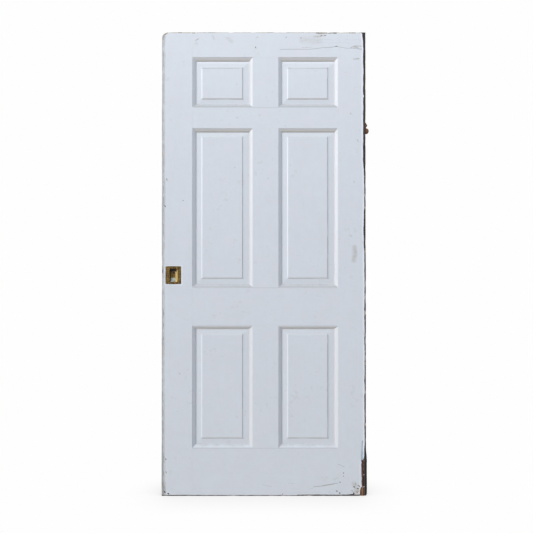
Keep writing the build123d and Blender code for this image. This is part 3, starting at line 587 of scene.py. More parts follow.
# ------------------------------------------------------------------ shader helper
class Mat:
    def __init__(self, name):
        self.m = bpy.data.materials.new(name)
        self.m.use_nodes = True
        self.t = self.m.node_tree
        self.b = self.t.nodes["Principled BSDF"]
        self.coord = self.t.nodes.new("ShaderNodeTexCoord")

    def new(self, kind, **props):
        node = self.t.nodes.new(kind)
        for k, v in props.items():
            setattr(node, k, v)
        return node

    def put(self, value, socket):
        if isinstance(value, bpy.types.NodeSocket):
            self.t.links.new(value, socket)
        elif isinstance(value, (tuple, list)) and len(value) == 3 and socket.type == "RGBA":
            socket.default_value = (*value, 1)
        else:
            socket.default_value = value

    def where(self, scale=(1, 1, 1), rot=(0, 0, 0)):
        node = self.new("ShaderNodeMapping")
        self.t.links.new(self.coord.outputs["Object"], node.inputs["Vector"])
        node.inputs["Scale"].default_value = scale
        node.inputs["Rotation"].default_value = rot
        return node.outputs[0]

    def noise(self, vec, scale, detail=3.0, rough=0.55, warp=0.0):
        node = self.new("ShaderNodeTexNoise")
        self.put(vec, node.inputs["Vector"])
        node.inputs["Scale"].default_value = scale
        node.inputs["Detail"].default_value = detail
        node.inputs["Roughness"].default_value = rough
        node.inputs["Distortion"].default_value = warp
        return node.outputs["Fac"]

    def voronoi(self, vec, scale, feature="F1"):
        node = self.new("ShaderNodeTexVoronoi", feature=feature)
        self.put(vec, node.inputs["Vector"])
        node.inputs["Scale"].default_value = scale
        return node.outputs["Distance"]

    def math(self, op, a, b=0.5, c=0.0, clamp=False):
        node = self.new("ShaderNodeMath", operation=op, use_clamp=clamp)
        self.put(a, node.inputs[0])
        self.put(b, node.inputs[1])
        self.put(c, node.inputs[2])
        return node.outputs[0]

    def ease(self, v, a, b, lo=0.0, hi=1.0):
        node = self.new("ShaderNodeMapRange", interpolation_type="SMOOTHSTEP")
        self.put(v, node.inputs["Value"])
        for key, val in (("From Min", a), ("From Max", b), ("To Min", lo), ("To Max", hi)):
            node.inputs[key].default_value = val
        return node.outputs["Result"]

    def mix(self, fac, a, b, kind="MIX"):
        node = self.new("ShaderNodeMix", data_type="RGBA", blend_type=kind)
        self.put(fac, node.inputs["Factor"])
        self.put(a, node.inputs[6])
        self.put(b, node.inputs[7])
        return node.outputs[2]

    def blend(self, fac, a, b):
        node = self.new("ShaderNodeMix", data_type="FLOAT")
        self.put(fac, node.inputs["Factor"])
        self.put(a, node.inputs[2])
        self.put(b, node.inputs[3])
        return node.outputs[0]

    def attr(self, name):
        node = self.new("ShaderNodeAttribute", attribute_name=name)
        node.attribute_type = "GEOMETRY"
        return node.outputs["Fac"]

    def bump(self, height, strength, distance, normal=None):
        node = self.new("ShaderNodeBump")
        self.put(height, node.inputs["Height"])
        node.inputs["Strength"].default_value = strength
        node.inputs["Distance"].default_value = distance
        if normal is not None:
            self.put(normal, node.inputs["Normal"])
        return node.outputs[0]

    def normal_axis(self, axis):
        node = self.new("ShaderNodeSeparateXYZ")
        self.t.links.new(self.coord.outputs["Normal"], node.inputs[0])
        return node.outputs[axis]

    def set(self, **kw):
        for k, v in kw.items():
            self.put(v, self.b.inputs[k.replace("_", " ")])
        return self.m


def wood_colour(m, grain):
    """Old bare softwood: grain lines along `grain`, darkened by age."""
    scale = {"z": (1, 1, 0.035), "x": (0.035, 1, 1)}[grain]
    vec = m.where(scale)
    rings = m.noise(vec, 210, 5, 0.62, 1.2)
    fine = m.noise(vec, 900, 3, 0.6)
    patch = m.noise(m.where(), 13, 4, 0.6)
    dark = m.mix(m.ease(rings, 0.36, 0.66), (0.017, 0.010, 0.011), (0.070, 0.038, 0.033))
    pale = m.mix(m.ease(rings, 0.36, 0.66), (0.070, 0.051, 0.041), (0.175, 0.128, 0.095))
    col = m.mix(m.ease(patch, 0.50, 0.78, 0, 0.6), dark, pale)
    col = m.mix(m.ease(fine, 0.35, 0.75, 0.35, 0.0), col, (0.016, 0.012, 0.011))
    return col, rings, fine


def paint_material(name, grain):
    m = Mat(name)
    p = m.where()
    along = m.where({"z": (1, 1, 0.1), "x": (0.1, 1, 1)}[grain])
    blot = m.noise(p, 9, 4, 0.6)
    cloud = m.noise(p, 42, 4, 0.6)
    ragged = m.noise(p, 260, 4, 0.65)
    grit = m.noise(p, 1400, 3, 0.6)
    brush = m.noise(along, 620, 4, 0.62)
    brush2 = m.noise(along, 150, 3, 0.5)

    peel, deep, crack = m.attr("peel"), m.attr("deep"), m.attr("crack")
    stain, rub, under, grime = m.attr("stain"), m.attr("rub"), m.attr("under"), m.attr("grime")

    wob = m.math("MULTIPLY", m.math("SUBTRACT", ragged, 0.5), 3.2)
    wob = m.math("ADD", wob, m.math("MULTIPLY", m.math("SUBTRACT", grit, 0.5), 1.2))
    off = m.ease(m.math("ADD", peel, wob), -0.25, 0.3)

    # coats of paint: top coat, a yellowed older coat below it, then the wood
    coat = m.mix(m.ease(cloud, 0.35, 0.7), (0.762, 0.774, 0.788), (0.780, 0.793, 0.807))
    coat = m.mix(m.ease(blot, 0.45, 0.75, 0, 0.16), coat, (0.72, 0.72, 0.70))
    hue = m.noise(p, 17, 3, 0.55)
    coat = m.mix(m.ease(hue, 0.50, 0.68, 0, 0.55), coat, (0.775, 0.765, 0.785))
    coat = m.mix(m.ease(hue, 0.48, 0.32, 0, 0.45), coat, (0.755, 0.790, 0.800))
    smudge = m.math("MULTIPLY", m.ease(cloud, 0.56, 0.68), m.ease(m.noise(p, 5.5, 2, 0.5), 0.47, 0.62))
    coat = m.mix(m.math("MULTIPLY", smudge, 0.20), coat, (0.52, 0.50, 0.46))
    coat = m.mix(m.ease(brush2, 0.5, 0.8, 0, 0.10), coat, (0.62, 0.635, 0.65))
    # painted shade: surfaces facing down get a warm, darker tint of the bounce light from below
    down_painted_shade = m.ease(m.math("MULTIPLY", m.normal_axis(2), -1.0), 0.25, 0.75, 0, 0.85)
    coat = m.mix(down_painted_shade, coat, (0.78, 0.72, 0.61))
    # painted shade: surfaces facing left, towards the key light, are toned greyer and warmer to dim their highlight
    left_painted_shade = m.ease(m.math("MULTIPLY", m.normal_axis(0), -1.0), 0.22, 0.6)
    coat = m.mix(left_painted_shade, coat, (0.752, 0.728, 0.715))
    rubbed = m.ease(m.math("ADD", rub, m.math("MULTIPLY", m.math("SUBTRACT", ragged, 0.5), 9.0)), -1.5, 2.5)
    rub_tone = m.mix(m.ease(brush2, 0.42, 0.62), (0.53, 0.515, 0.485), (0.66, 0.655, 0.64))
    coat = m.mix(m.math("MULTIPLY", rubbed, 0.75), coat, rub_tone)
    patchy = m.noise(m.where((1, 1, 0.6)), 60, 4, 0.65)
    worn = m.math("ADD", rub, m.math("MULTIPLY", m.math("SUBTRACT", ragged, 0.5), 6.0))
    worn = m.ease(m.math("ADD", worn, m.math("MULTIPLY", m.math("SUBTRACT", patchy, 0.5), 16.0)), 5.5, 9.5, 0, 0.85)
    coat = m.mix(worn, coat, (0.34, 0.335, 0.315))
    spots = m.math("MULTIPLY", m.ease(ragged, 0.64, 0.74), m.ease(blot, 0.5, 0.6))
    coat = m.mix(m.math("MULTIPLY", spots, 0.25), coat, (0.48, 0.42, 0.34))
    # painted shade: dark lines in the creases at shoulders and mouldings
    coat = m.mix(m.math("MULTIPLY", m.attr("crease_painted_shade"), 0.52), coat, (0.36, 0.345, 0.335))
    stain_mask = m.math("MULTIPLY", stain, m.ease(ragged, 0.25, 0.62))
    coat = m.mix(stain_mask, coat, (0.43, 0.365, 0.285))

    # painted light: a lighter, bluer coat on lit shoulders, shaded rims and deep mouldings, and on raised paint ridges
    coat = m.mix(m.math("MULTIPLY", m.attr("ridge_and_painted_light"), 0.9), coat, (0.93, 0.95, 0.985))
    # more of the same painted shade on surfaces facing down
    coat = m.mix(m.math("MULTIPLY", down_painted_shade, 0.62), coat, (0.81, 0.715, 0.575))
    old = m.mix(m.ease(cloud, 0.4, 0.65), (0.40, 0.335, 0.235), (0.52, 0.47, 0.37))
    wood, rings, fine = wood_colour(m, grain)
    level = m.math("ADD", deep, m.math("MULTIPLY", m.math("SUBTRACT", cloud, 0.5), 1.3))
    core = m.mix(m.ease(level, 0.42, 0.56), old, wood)
    core = m.mix(m.ease(level, 1.25, 1.55), core, (0.010, 0.009, 0.010))
    # painted light: bare wood facing +X, away from the key light, is made paler against its shade
    right_painted_light = m.ease(m.normal_axis(0), 0.75, 0.95)
    core = m.mix(m.math("MULTIPLY", right_painted_light, 0.8), core, m.mix(m.ease(rings, 0.34, 0.66), (0.060, 0.040, 0.031), (0.200, 0.138, 0.100)))
    red = m.mix(m.ease(rings, 0.38, 0.62), (0.036, 0.011, 0.006), (0.235, 0.118, 0.082))
    height = m.new("ShaderNodeSeparateXYZ")
    m.t.links.new(m.coord.outputs["Object"], height.inputs[0])
    orange = m.mix(m.ease(rings, 0.36, 0.64), (0.070, 0.027, 0.012), (0.300, 0.155, 0.078))
    red = m.mix(m.ease(height.outputs[2], 0.042, 0.030), red, orange)
    core = m.mix(m.attr("broken"), core, red)
    under_mask = m.ease(m.math("ADD", under, wob), -0.3, 0.3)
    col = m.mix(m.math("MULTIPLY", under_mask, m.ease(ragged, 0.25, 0.5, 0.55, 0.95)), coat, (0.42, 0.50, 0.575))
    col = m.mix(off, col, core)
    crack_mask = m.ease(m.math("ADD", crack, m.math("MULTIPLY", m.math("SUBTRACT", grit, 0.5), 0.9)), -0.35, 0.15)
    col = m.mix(m.math("MULTIPLY", crack_mask, 0.8), col, (0.16, 0.135, 0.115))
    tone = m.attr("tone")
    col = m.mix(m.math("MULTIPLY", m.ease(tone, 0.05, 0.9), 0.9), col, m.mix(off, (0.80, 0.71, 0.62), (0.55, 0.41, 0.35)))
    col = m.mix(m.math("MULTIPLY", m.ease(m.math("MULTIPLY", tone, -1.0), 0.05, 0.9), 0.92), col, (0.028, 0.006, 0.003))
    # darker, browner tone on what faces up
    up_facing_tone = m.math("MULTIPLY", m.ease(m.normal_axis(2), 0.18, 0.62), m.ease(cloud, 0.3, 0.7, 0.34, 0.52))
    col = m.mix(up_facing_tone, col, (0.40, 0.375, 0.335))
    col = m.mix(m.math("MULTIPLY", grime, 0.05), col, (0.45, 0.43, 0.40))

    rough = m.blend(off, m.ease(cloud, 0.3, 0.7, 0.36, 0.52), 0.82)
    # height: brush marks, the thickness of the coats, grain where the paint is off, and sunken cracks and under-coat
    h = m.math("MULTIPLY", brush, 0.16)
    h = m.math("ADD", h, m.math("MULTIPLY", brush2, 0.20))
    h = m.math("ADD", h, m.math("MULTIPLY", ragged, 0.10))
    grainy = m.math("ADD", m.math("MULTIPLY", rings, 0.7), m.math("MULTIPLY", fine, 0.35))
    h = m.blend(off, m.math("ADD", h, 1.1), grainy)
    h = m.math("SUBTRACT", h, m.math("MULTIPLY", crack_mask, 0.9))
    h = m.math("SUBTRACT", h, m.math("MULTIPLY", under_mask, 0.4))
    nor = m.bump(h, 0.55, 0.0004)
    return m.set(Base_Color=col, Roughness=rough, Normal=nor)


def brass_material(name, dull=0.5, marked=False):
    m = Mat(name)
    p = m.where()
    big = m.noise(p, 75, 5, 0.62)
    mid = m.noise(p, 260, 4, 0.62)
    streak = m.noise(m.where((1, 1, 0.10)), 330, 4, 0.6)
    grit = m.noise(p, 1500, 3, 0.6)
    metal = m.mix(m.ease(mid, 0.38, 0.62), (0.175, 0.098, 0.024), (0.46, 0.305, 0.110))
    age = m.math("ADD", m.math("MULTIPLY", big, 0.55), m.math("MULTIPLY", streak, 0.45))
    age = m.ease(age, 0.60 - 0.22 * dull, 0.74 - 0.22 * dull)
    metal = m.mix(m.ease(streak, 0.46, 0.62, 0, 0.75), metal, (0.105, 0.054, 0.014))
    col = m.mix(m.math("MULTIPLY", age, 0.8), metal, (0.085, 0.056, 0.018))
    green = m.math("MULTIPLY", m.ease(big, 0.56, 0.70), m.ease(grit, 0.45, 0.65))
    col = m.mix(m.math("MULTIPLY", green, 0.45), col, (0.17, 0.17, 0.06))
    rough = m.blend(age, m.ease(mid, 0.3, 0.7, 0.34, 0.50), 0.68)
    metallic = m.blend(age, 0.97, 0.75)
    if marked:
        grime_and_painted_shade, lit_wall_highlight, painted_sky_reflection = m.attr("grime_and_painted_shade"), m.attr("lit_wall_highlight"), m.attr("painted_sky_reflection")
        # painted highlight on the cup's right wall
        lit_wall_highlight = m.math("MULTIPLY", lit_wall_highlight, m.ease(mid, 0.25, 0.6, 0.72, 1.0))
        col = m.mix(lit_wall_highlight, col, m.mix(m.ease(streak, 0.4, 0.7), (0.70, 0.505, 0.190), (0.60, 0.37, 0.120)))
        rough = m.blend(lit_wall_highlight, rough, 0.33)
        metallic = m.blend(lit_wall_highlight, metallic, 0.85)
        # painted reflection of the sky on the cup's foot
        painted_sky_reflection = m.math("MULTIPLY", painted_sky_reflection, m.ease(mid, 0.28, 0.58, 0.75, 1.0))
        col = m.mix(painted_sky_reflection, col, m.mix(m.ease(big, 0.4, 0.6), (0.37, 0.46, 0.40), (0.48, 0.485, 0.43)))
        rough = m.blend(painted_sky_reflection, rough, 0.55)
        metallic = m.blend(painted_sky_reflection, metallic, 0.15)
        # dark patches: painted shade in the upper cup and on its left wall, darkening elsewhere on the pull
        grime_and_painted_shade = m.math("MULTIPLY", grime_and_painted_shade, m.ease(mid, 0.25, 0.6, 0.82, 1.0))
        col = m.mix(grime_and_painted_shade, col, m.mix(m.ease(mid, 0.4, 0.62), (0.012, 0.008, 0.005), (0.040, 0.020, 0.010)))
        rough = m.blend(grime_and_painted_shade, rough, 0.80)
        metallic = m.blend(grime_and_painted_shade, metallic, 0.2)
    h = m.math("ADD", m.math("MULTIPLY", mid, 0.5), m.math("MULTIPLY", streak, 0.35))
    h = m.math("ADD", h, m.math("MULTIPLY", grit, 0.2))
    return m.set(Base_Color=col, Metallic=metallic, Roughness=rough, Normal=m.bump(h, 0.4, 0.0003))


def rust_material(name):
    m = Mat(name)
    p = m.where()
    big = m.noise(p, 130, 5, 0.62)
    mid = m.noise(p, 520, 5, 0.65, 0.4)
    grit = m.noise(p, 2200, 3, 0.6)
    col = m.mix(m.ease(mid, 0.35, 0.66), (0.150, 0.058, 0.024), (0.40, 0.180, 0.078))
    col = m.mix(m.ease(big, 0.52, 0.70), col, (0.50, 0.27, 0.135))
    col = m.mix(m.ease(grit, 0.55, 0.80, 0, 0.6), col, (0.070, 0.035, 0.022))
    paint = m.ease(m.math("ADD", big, m.math("MULTIPLY", grit, 0.25)), 0.26, 0.22 + 0.12)
    col = m.mix(m.math("MULTIPLY", m.math("SUBTRACT", 1.0, paint), 0.55), col, (0.50, 0.42, 0.31))
    h = m.math("ADD", m.math("MULTIPLY", mid, 0.8), m.math("MULTIPLY", grit, 0.3))
    rough = m.ease(mid, 0.3, 0.7, 0.92, 0.72)
    return m.set(Base_Color=col, Metallic=m.ease(mid, 0.3, 0.5, 0.25, 0.0), Roughness=rough, Normal=m.bump(h, 0.8, 0.0006))


def metal_material(name, light, dark, rust=0.35):
    m = Mat(name)
    p = m.where()
    big = m.noise(p, 70, 5, 0.6)
    mid = m.noise(p, 340, 4, 0.6)
    draw = m.noise(m.where((1, 1, 0.08)), 700, 3, 0.6)
    col = m.mix(m.ease(draw, 0.35, 0.7), dark, light)
    spot = m.math("MULTIPLY", m.ease(m.math("ADD", big, m.math("MULTIPLY", mid, 0.5)), 0.72, 0.9), rust)
    col = m.mix(spot, col, (0.15, 0.066, 0.030))
    rough = m.ease(mid, 0.3, 0.7, 0.38, 0.60)
    metallic = m.math("SUBTRACT", 0.95, m.math("MULTIPLY", spot, 0.8))
    h = m.math("ADD", m.math("MULTIPLY", draw, 0.5), m.math("MULTIPLY", mid, 0.5))
    return m.set(Base_Color=col, Metallic=metallic, Roughness=rough, Normal=m.bump(h, 0.3, 0.0002))


def wedge_material():
    m = Mat("bare_wood_aged")
    col, rings, fine = wood_colour(m, "x")
    h = m.math("ADD", m.math("MULTIPLY", rings, 0.6), m.math("MULTIPLY", fine, 0.4))
    return m.set(Base_Color=col, Roughness=m.ease(fine, 0.3, 0.7, 0.9, 0.75), Normal=m.bump(h, 0.6, 0.0004))


PAINT_Z = paint_material("old_white_paint_upright", "z")
PAINT_X = paint_material("old_white_paint_level", "x")
BRASS = brass_material("mottled_brass", 0.5, True)
BRASS_EDGE = brass_material("dull_brass", 0.75)
RUST = rust_material("thick_rust")
IRON = metal_material("blackened_iron", (0.12, 0.115, 0.11), (0.045, 0.042, 0.04), 0.7)
STEEL = metal_material("grey_steel", (0.36, 0.36, 0.36), (0.20, 0.20, 0.205), 0.5)
CAST = metal_material("worn_cast_brass", (0.52, 0.41, 0.20), (0.30, 0.22, 0.10), 0.15)
BARE = wedge_material()

# ------------------------------------------------------------------ the wooden members
STEP = 5.0
LONG = {"lock_stile": PAINT_Z, "back_stile": PAINT_Z, "top_muntin": PAINT_Z, "middle_muntin": PAINT_Z, "bottom_muntin": PAINT_Z}
ACROSS = {"top_rail": PAINT_X, "frieze_rail": PAINT_X, "lock_rail": PAINT_X, "bottom_rail": PAINT_X}
for node, mat in {**LONG, **ACROSS}.items():
    extra_x, extra_z = (), ()
    if node == "lock_stile":
        extra_x = (XL + 1.2, XL + 6.2)
    if node == "back_stile":
        extra_x = (XR - 2.2, XR - 4.2, XR - 5.8, XR - 6.8, XR - 9.0, XR - 12.0, XR - 15.0, XR - 17.5)
    if node in ("top_rail", "bottom_rail"):
        extra_z = (2.0, 2079.0)
    bm = dense_mesh(node, STEP, STEP, 6.0, extra_x, extra_z)
    refine(bm)
    finish_wood(bm, node, mat)

for row in ("top", "middle", "bottom"):
    for col in ("left", "right"):
        node = f"panel_{row}_{col}"
        near_x = [e + k for e in SHOULDERS_X[col] for k in (-5.0, -3.4, 3.4, 5.0)]
        near_z = [e + k for e in SHOULDERS_Z[row] for k in (-5.0, -3.4, 3.4, 5.0)]
        bm = dense_mesh(node, STEP * 0.96, STEP * 1.2, None, near_x, near_z)
        refine(bm)
        finish_wood(bm, node, PAINT_Z)


# ------------------------------------------------------------------ flush pulls: one pressing, plate and cup
PULL_W, PULL_H, PULL_X, PULL_Z, BULGE = 70.0, 77.8, -405.6, 988.9, 1.3
CUP_X, CUP_Z = (-422.1, -388.9), (956.8, 1020.1)
FLOOR_X, FLOOR_Z = (-418.8, -401.7), (965.4, 1008.0)
KEY = (-410.5, 1003.0)
Y_FACE = -HT - 1.0
DEPTH = 8.85


def round_box(x, z, cx, cz, hx, hz, r):
    """Signed distance to a rectangle with rounded corners, negative inside."""
    qx, qz = np.abs(x - cx) - (hx - r), np.abs(z - cz) - (hz - r)
    return np.hypot(np.maximum(qx, 0), np.maximum(qz, 0)) + np.minimum(np.maximum(qx, qz), 0) - r


def cup_depth(x, z):
    """How deep the pressing is below the plate at (x, z)."""
    best = np.zeros_like(x)
    for i in range(0, 21):
        t = i / 20.0
        lo_x = CUP_X[0] + (FLOOR_X[0] - CUP_X[0]) * t
        hi_x = CUP_X[1] + (FLOOR_X[1] - CUP_X[1]) * t
        lo_z = CUP_Z[0] + (FLOOR_Z[0] - CUP_Z[0]) * t
        hi_z = CUP_Z[1] + (FLOOR_Z[1] - CUP_Z[1]) * t
        r = 5.0 - t
        d = round_box(x, z, (lo_x + hi_x) / 2, (lo_z + hi_z) / 2, (hi_x - lo_x) / 2, (hi_z - lo_z) / 2, r)
        best = np.maximum(best, np.where(d < 0, t, 0) + np.where((d < 0) & (t < 1), np.clip(-d / 0.9, 0, 1) * 0.05, 0))
    return np.clip(best, 0, 1)


def pull_mesh(name, side):
    n_u, n_v = (132, 146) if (side < 0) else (90, 100)
    u = np.linspace(-1, 1, n_u)
    v = np.linspace(-1, 1, n_v)
    U, V = np.meshgrid(u, v, indexing="ij")
    X = PULL_X + U * PULL_W / 2
    Z = PULL_Z + V * (PULL_H / 2 + BULGE * (1 - U**2))
    t = cup_depth(X, Z)
    for _ in range(3):
        t[1:-1, 1:-1] = (t[1:-1, 1:-1] * 2 + t[:-2, 1:-1] + t[2:, 1:-1] + t[1:-1, :-2] + t[1:-1, 2:]) / 6
    # the floor of the cup rises in a scoop towards its foot
    flat = DEPTH * t
    scoop = ramp(Z, 980.0, 964.0) * ramp(t, 0.9, 1.0)
    flat = flat - 1.3 * scoop
    edge = np.minimum(
        (1 - np.abs(U)) * PULL_W / 2, (1 - np.abs(V)) * (PULL_H / 2)
    )
    crown = 0.9 * (1 - np.sqrt(np.clip(1 - (1 - np.clip(edge / 2.2, 0, 1)) ** 2, 0, 1)))
    pts = np.stack([X.ravel(), Z.ravel() * 0, Z.ravel()], 1)
    dents = (0.06 * noise(pts, 9, 91, 2) + 0.04 * noise(pts, 3, 92, 2)).reshape(X.shape)
    lip = 0.18 * np.exp(-((round_box(X, Z, sum(CUP_X) / 2, sum(CUP_Z) / 2, (CUP_X[1] - CUP_X[0]) / 2 + 0.6, (CUP_Z[1] - CUP_Z[0]) / 2 + 0.6, 5.6) / 0.9) ** 2))
    seat = np.zeros_like(X)
    for z in (952.6, 1024.9):
        r = np.hypot(X - PULL_X, Z - z)
        seat = np.maximum(seat, np.clip((3.15 - r) / 1.5, 0, 1) * 1.45)
    front = Y_FACE + flat + crown + np.abs(dents) - lip * 0 + seat + 0.12
    back = np.maximum(front + 0.85, -HT + 0.98 + 0 * front)
    back = np.minimum(np.where(flat > 0.5, front + 0.85, -HT + 0.98), -HT + 8.95)
    hole = (np.hypot(X - KEY[0], Z - KEY[1]) < 2.2) | ((np.abs(X - KEY[0]) < 1.1) & (Z < KEY[1]) & (Z > KEY[1] - 8))
    for z in (952.6, 1024.9):
        hole |= np.hypot(X - PULL_X, Z - z) < 1.3
    verts, faces = [], []
    for i in range(n_u):
        for j in range(n_v):
            verts.append((X[i, j], front[i, j], Z[i, j]))
    off = n_u * n_v
    for i in range(n_u):
        for j in range(n_v):
            verts.append((X[i, j], max(back[i, j], front[i, j] + 0.3), Z[i, j]))
    keep = np.ones((n_u - 1, n_v - 1), bool)
    hc = hole[:-1, :-1] & hole[1:, 1:] & hole[:-1, 1:] & hole[1:, :-1]
    keep[hc] = False

    def idx(i, j):
        return i * n_v + j

    for i in range(n_u - 1):
        for j in range(n_v - 1):
            if not keep[i, j]:
                continue
            q = [idx(i, j), idx(i + 1, j), idx(i + 1, j + 1), idx(i, j + 1)]
            faces.append(q)
            faces.append([k + off for k in reversed(q)])
            for (di, dj), (a, b) in (((0, -1), (0, 1)), ((1, 0), (1, 2)), ((0, 1), (2, 3)), ((-1, 0), (3, 0))):
                ii, jj = i + di, j + dj
                if ii < 0 or jj < 0 or ii >= n_u - 1 or jj >= n_v - 1 or not keep[ii, jj]:
                    faces.append([q[b], q[a], q[a] + off, q[b] + off])
    co = np.array(verts)
    if side > 0:
        co[:, 1] *= -1
        faces = [list(reversed(f)) for f in faces]
    me = bpy.data.meshes.new(name)
    me.from_pydata([tuple(c) for c in co / 1000.0], [], faces)
    me.update()
    bm = bmesh.new()
    bm.from_mesh(me)
    bmesh.ops.delete(bm, geom=[v for v in bm.verts if not v.link_faces], context="VERTS")
    bm.to_mesh(me)
    bm.free()
    pc = np.empty(len(me.vertices) * 3)
    me.vertices.foreach_get("co", pc)
    pc = pc.reshape(-1, 3) * 1000.0
    x, z = pc[:, 0], pc[:, 2]
    deepness = np.clip((np.abs(np.abs(pc[:, 1]) - abs(Y_FACE))) / DEPTH, 0, 1)
    inside = ramp(deepness, 0.05, 0.22)
    wob = 1.2 * noise(pc, 7, 93, 2)
    # painted shade: the top of the cup under its lip and the cup's left wall are darkened; further dark patches lie at
    # the foot of the right wall, round the keyhole and a spot beside it, round the screws, on the lower floor and along
    # the plate's rim
    grime_and_painted_shade = inside * np.maximum(ramp(z + wob, 1001.5, 1007.0), 0.0) * ramp(x - 0.55 * (z - 1006), -386.5, -390.0)
    grime_and_painted_shade = np.maximum(grime_and_painted_shade, 0.5 * inside * ramp(deepness, 0.30, 0.55) * ramp(x, -403.0, -401.4) * ramp(x, -397.6, -399.4) * ramp(z, 982.0, 986.0))
    grime_and_painted_shade = np.maximum(grime_and_painted_shade, 0.55 * inside * ramp(x, -416.6, -419.4))
    grime_and_painted_shade = np.maximum(grime_and_painted_shade, 0.6 * ramp(np.hypot(x - KEY[0], (z - KEY[1] + 2) * 0.7), 5.0, 2.5) * inside)
    grime_and_painted_shade = np.maximum(grime_and_painted_shade, 1.0 * ramp(np.hypot(x + 404.2, (z - 998.6) * 0.8), 5.6, 2.8) * inside)
    for zs, amount in ((952.6, 1.0), (1024.9, 0.45)):
        grime_and_painted_shade = np.maximum(grime_and_painted_shade, amount * ramp(np.hypot(x - PULL_X, z - zs), 5.2, 3.2))
    wide = np.maximum(inside, ramp(x, -391.0, -389.5))
    # painted highlight: brighter, polished brass on the cup's right wall, which faces the key light
    lit_wall_highlight = wide * ramp(x + 0.035 * (z - 990.0), -399.6, -397.2) * ramp(x, -384.0, -386.4) * ramp(z + wob, 1014.0, 1007.0) * ramp(z, 958.5, 963.0) * (1 - grime_and_painted_shade)
    # painted reflection: a pale bluish-green sheen of the sky on the scooped foot of the cup
    painted_sky_reflection = ramp(deepness, 0.12, 0.3) * ramp(z + wob, 978.0, 974.0) * ramp(z, 957.0, 960.0) * ramp(x, -395.8, -398.6) * ramp(x, -419.5, -417.0)
    grime_and_painted_shade = np.maximum(grime_and_painted_shade, 0.5 * painted_sky_reflection * ramp(np.hypot(x + 398.5, (z - 960.8) * 1.2), 7.5, 3.5))
    rim = np.minimum(PULL_W / 2 - np.abs(x - PULL_X), PULL_H / 2 + BULGE - np.abs(z - PULL_Z))
    grime_and_painted_shade = np.maximum(grime_and_painted_shade, 0.42 * ramp(rim, 2.6, 0.8))
    for label, values in (("grime_and_painted_shade", grime_and_painted_shade), ("lit_wall_highlight", lit_wall_highlight), ("painted_sky_reflection", painted_sky_reflection)):
        attr = me.attributes.new(label, "FLOAT", "POINT")
        attr.data.foreach_set("value", np.asarray(values, np.float32))
    me.polygons.foreach_set("use_smooth", np.ones(len(me.polygons), bool))
    me.set_sharp_from_angle(angle=math.radians(48))
    me.materials.append(BRASS)
    ob = bpy.data.objects.new(name, me)
    bpy.context.scene.collection.objects.link(ob)
    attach(ob, "leaf")
    return ob


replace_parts(pull_mesh("pull_front_pressing", -1), "pull_front")
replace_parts(pull_mesh("pull_back_pressing", 1), "pull_back")


# ------------------------------------------------------------------ rusted stop and its screw
def rusted(node, voxel, amp):
    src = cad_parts[node]
    me = src.data.copy()
    ob = bpy.data.objects.new(node + "_rusted", me)
    bpy.context.scene.collection.objects.link(ob)
    bm = bmesh.new()
    bm.from_mesh(me)
    bmesh.ops.remove_doubles(bm, verts=bm.verts[:], dist=1e-6)
    bm.to_mesh(me)
    bm.free()
    mod = ob.modifiers.new("remesh", "REMESH")
    mod.mode = "VOXEL"
    mod.voxel_size = voxel / 1000.0
    dg = bpy.context.evaluated_depsgraph_get()
    new = bpy.data.meshes.new_from_object(ob.evaluated_get(dg))
    ob.modifiers.clear()
    ob.data = new
    n = len(new.vertices)
    co = np.empty(n * 3)
    new.vertices.foreach_get("co", co)
    co = co.reshape(-1, 3) * 1000.0
    nr = np.empty(n * 3)
    new.vertices.foreach_get("normal", nr)
    nr = nr.reshape(-1, 3)
    lump = -amp * (0.35 + 0.9 * noise(co, 5.0, 101, 3)) - 0.35 * amp * np.abs(noise(co, 1.8, 102, 2))
    out = ramp(co[:, 0], XR + 0.4, XR + 1.6)
    co = co + nr * ((lump + 1.3) * out)[:, None]
    co[:, 0] += 2.4 * ramp(co[:, 0], XR + 3.0, XR + 13.0)
    new.vertices.foreach_set("co", (co / 1000.0).ravel())
    new.materials.clear()
    new.materials.append(RUST)
    new.polygons.foreach_set("use_smooth", np.ones(len(new.polygons), bool))
    new.update()
    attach(ob, "leaf")
    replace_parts(ob, node)
    return ob


rusted("edge_stop", 0.55, 0.8)
rusted("edge_stop_screw", 0.45, 0.3)

# ------------------------------------------------------------------ finishes of the carried-over metalwork
FINISH = {
    "pull_screws": BRASS_EDGE,
    "lock_front_plate": BRASS_EDGE,
    "lock_plate_screws": BRASS_EDGE,
    "lock_hook": CAST,
    "lock_case": IRON,
    "lock_cover": STEEL,
    "lock_cover_screws": STEEL,
    "lock_spring": STEEL,
    "tenon_wedges": BARE,
}
for node, mat in FINISH.items():
    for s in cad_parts[node].material_slots:
        s.material = mat

# ------------------------------------------------------------------ floor, backdrop, light, camera
world = bpy.data.worlds.new("studio")
bpy.context.scene.world = world
world.use_nodes = True
wt = world.node_tree
bg = wt.nodes["Background"]
path = wt.nodes.new("ShaderNodeLightPath")
sky = wt.nodes.new("ShaderNodeTexCoord")
split = wt.nodes.new("ShaderNodeSeparateXYZ")
wt.links.new(sky.outputs["Generated"], split.inputs[0])


def world_ease(socket, a, b, lo, hi):
    node = wt.nodes.new("ShaderNodeMapRange")
    node.interpolation_type = "SMOOTHSTEP"
    wt.links.new(socket, node.inputs["Value"])
    for key, val in (("From Min", a), ("From Max", b), ("To Min", lo), ("To Max", hi)):
        node.inputs[key].default_value = val
    return node.outputs["Result"]


def world_mul(a, b):
    node = wt.nodes.new("ShaderNodeMath")
    node.operation = "MULTIPLY"
    wt.links.new(a, node.inputs[0])
    wt.links.new(b, node.inputs[1])
    return node.outputs[0]


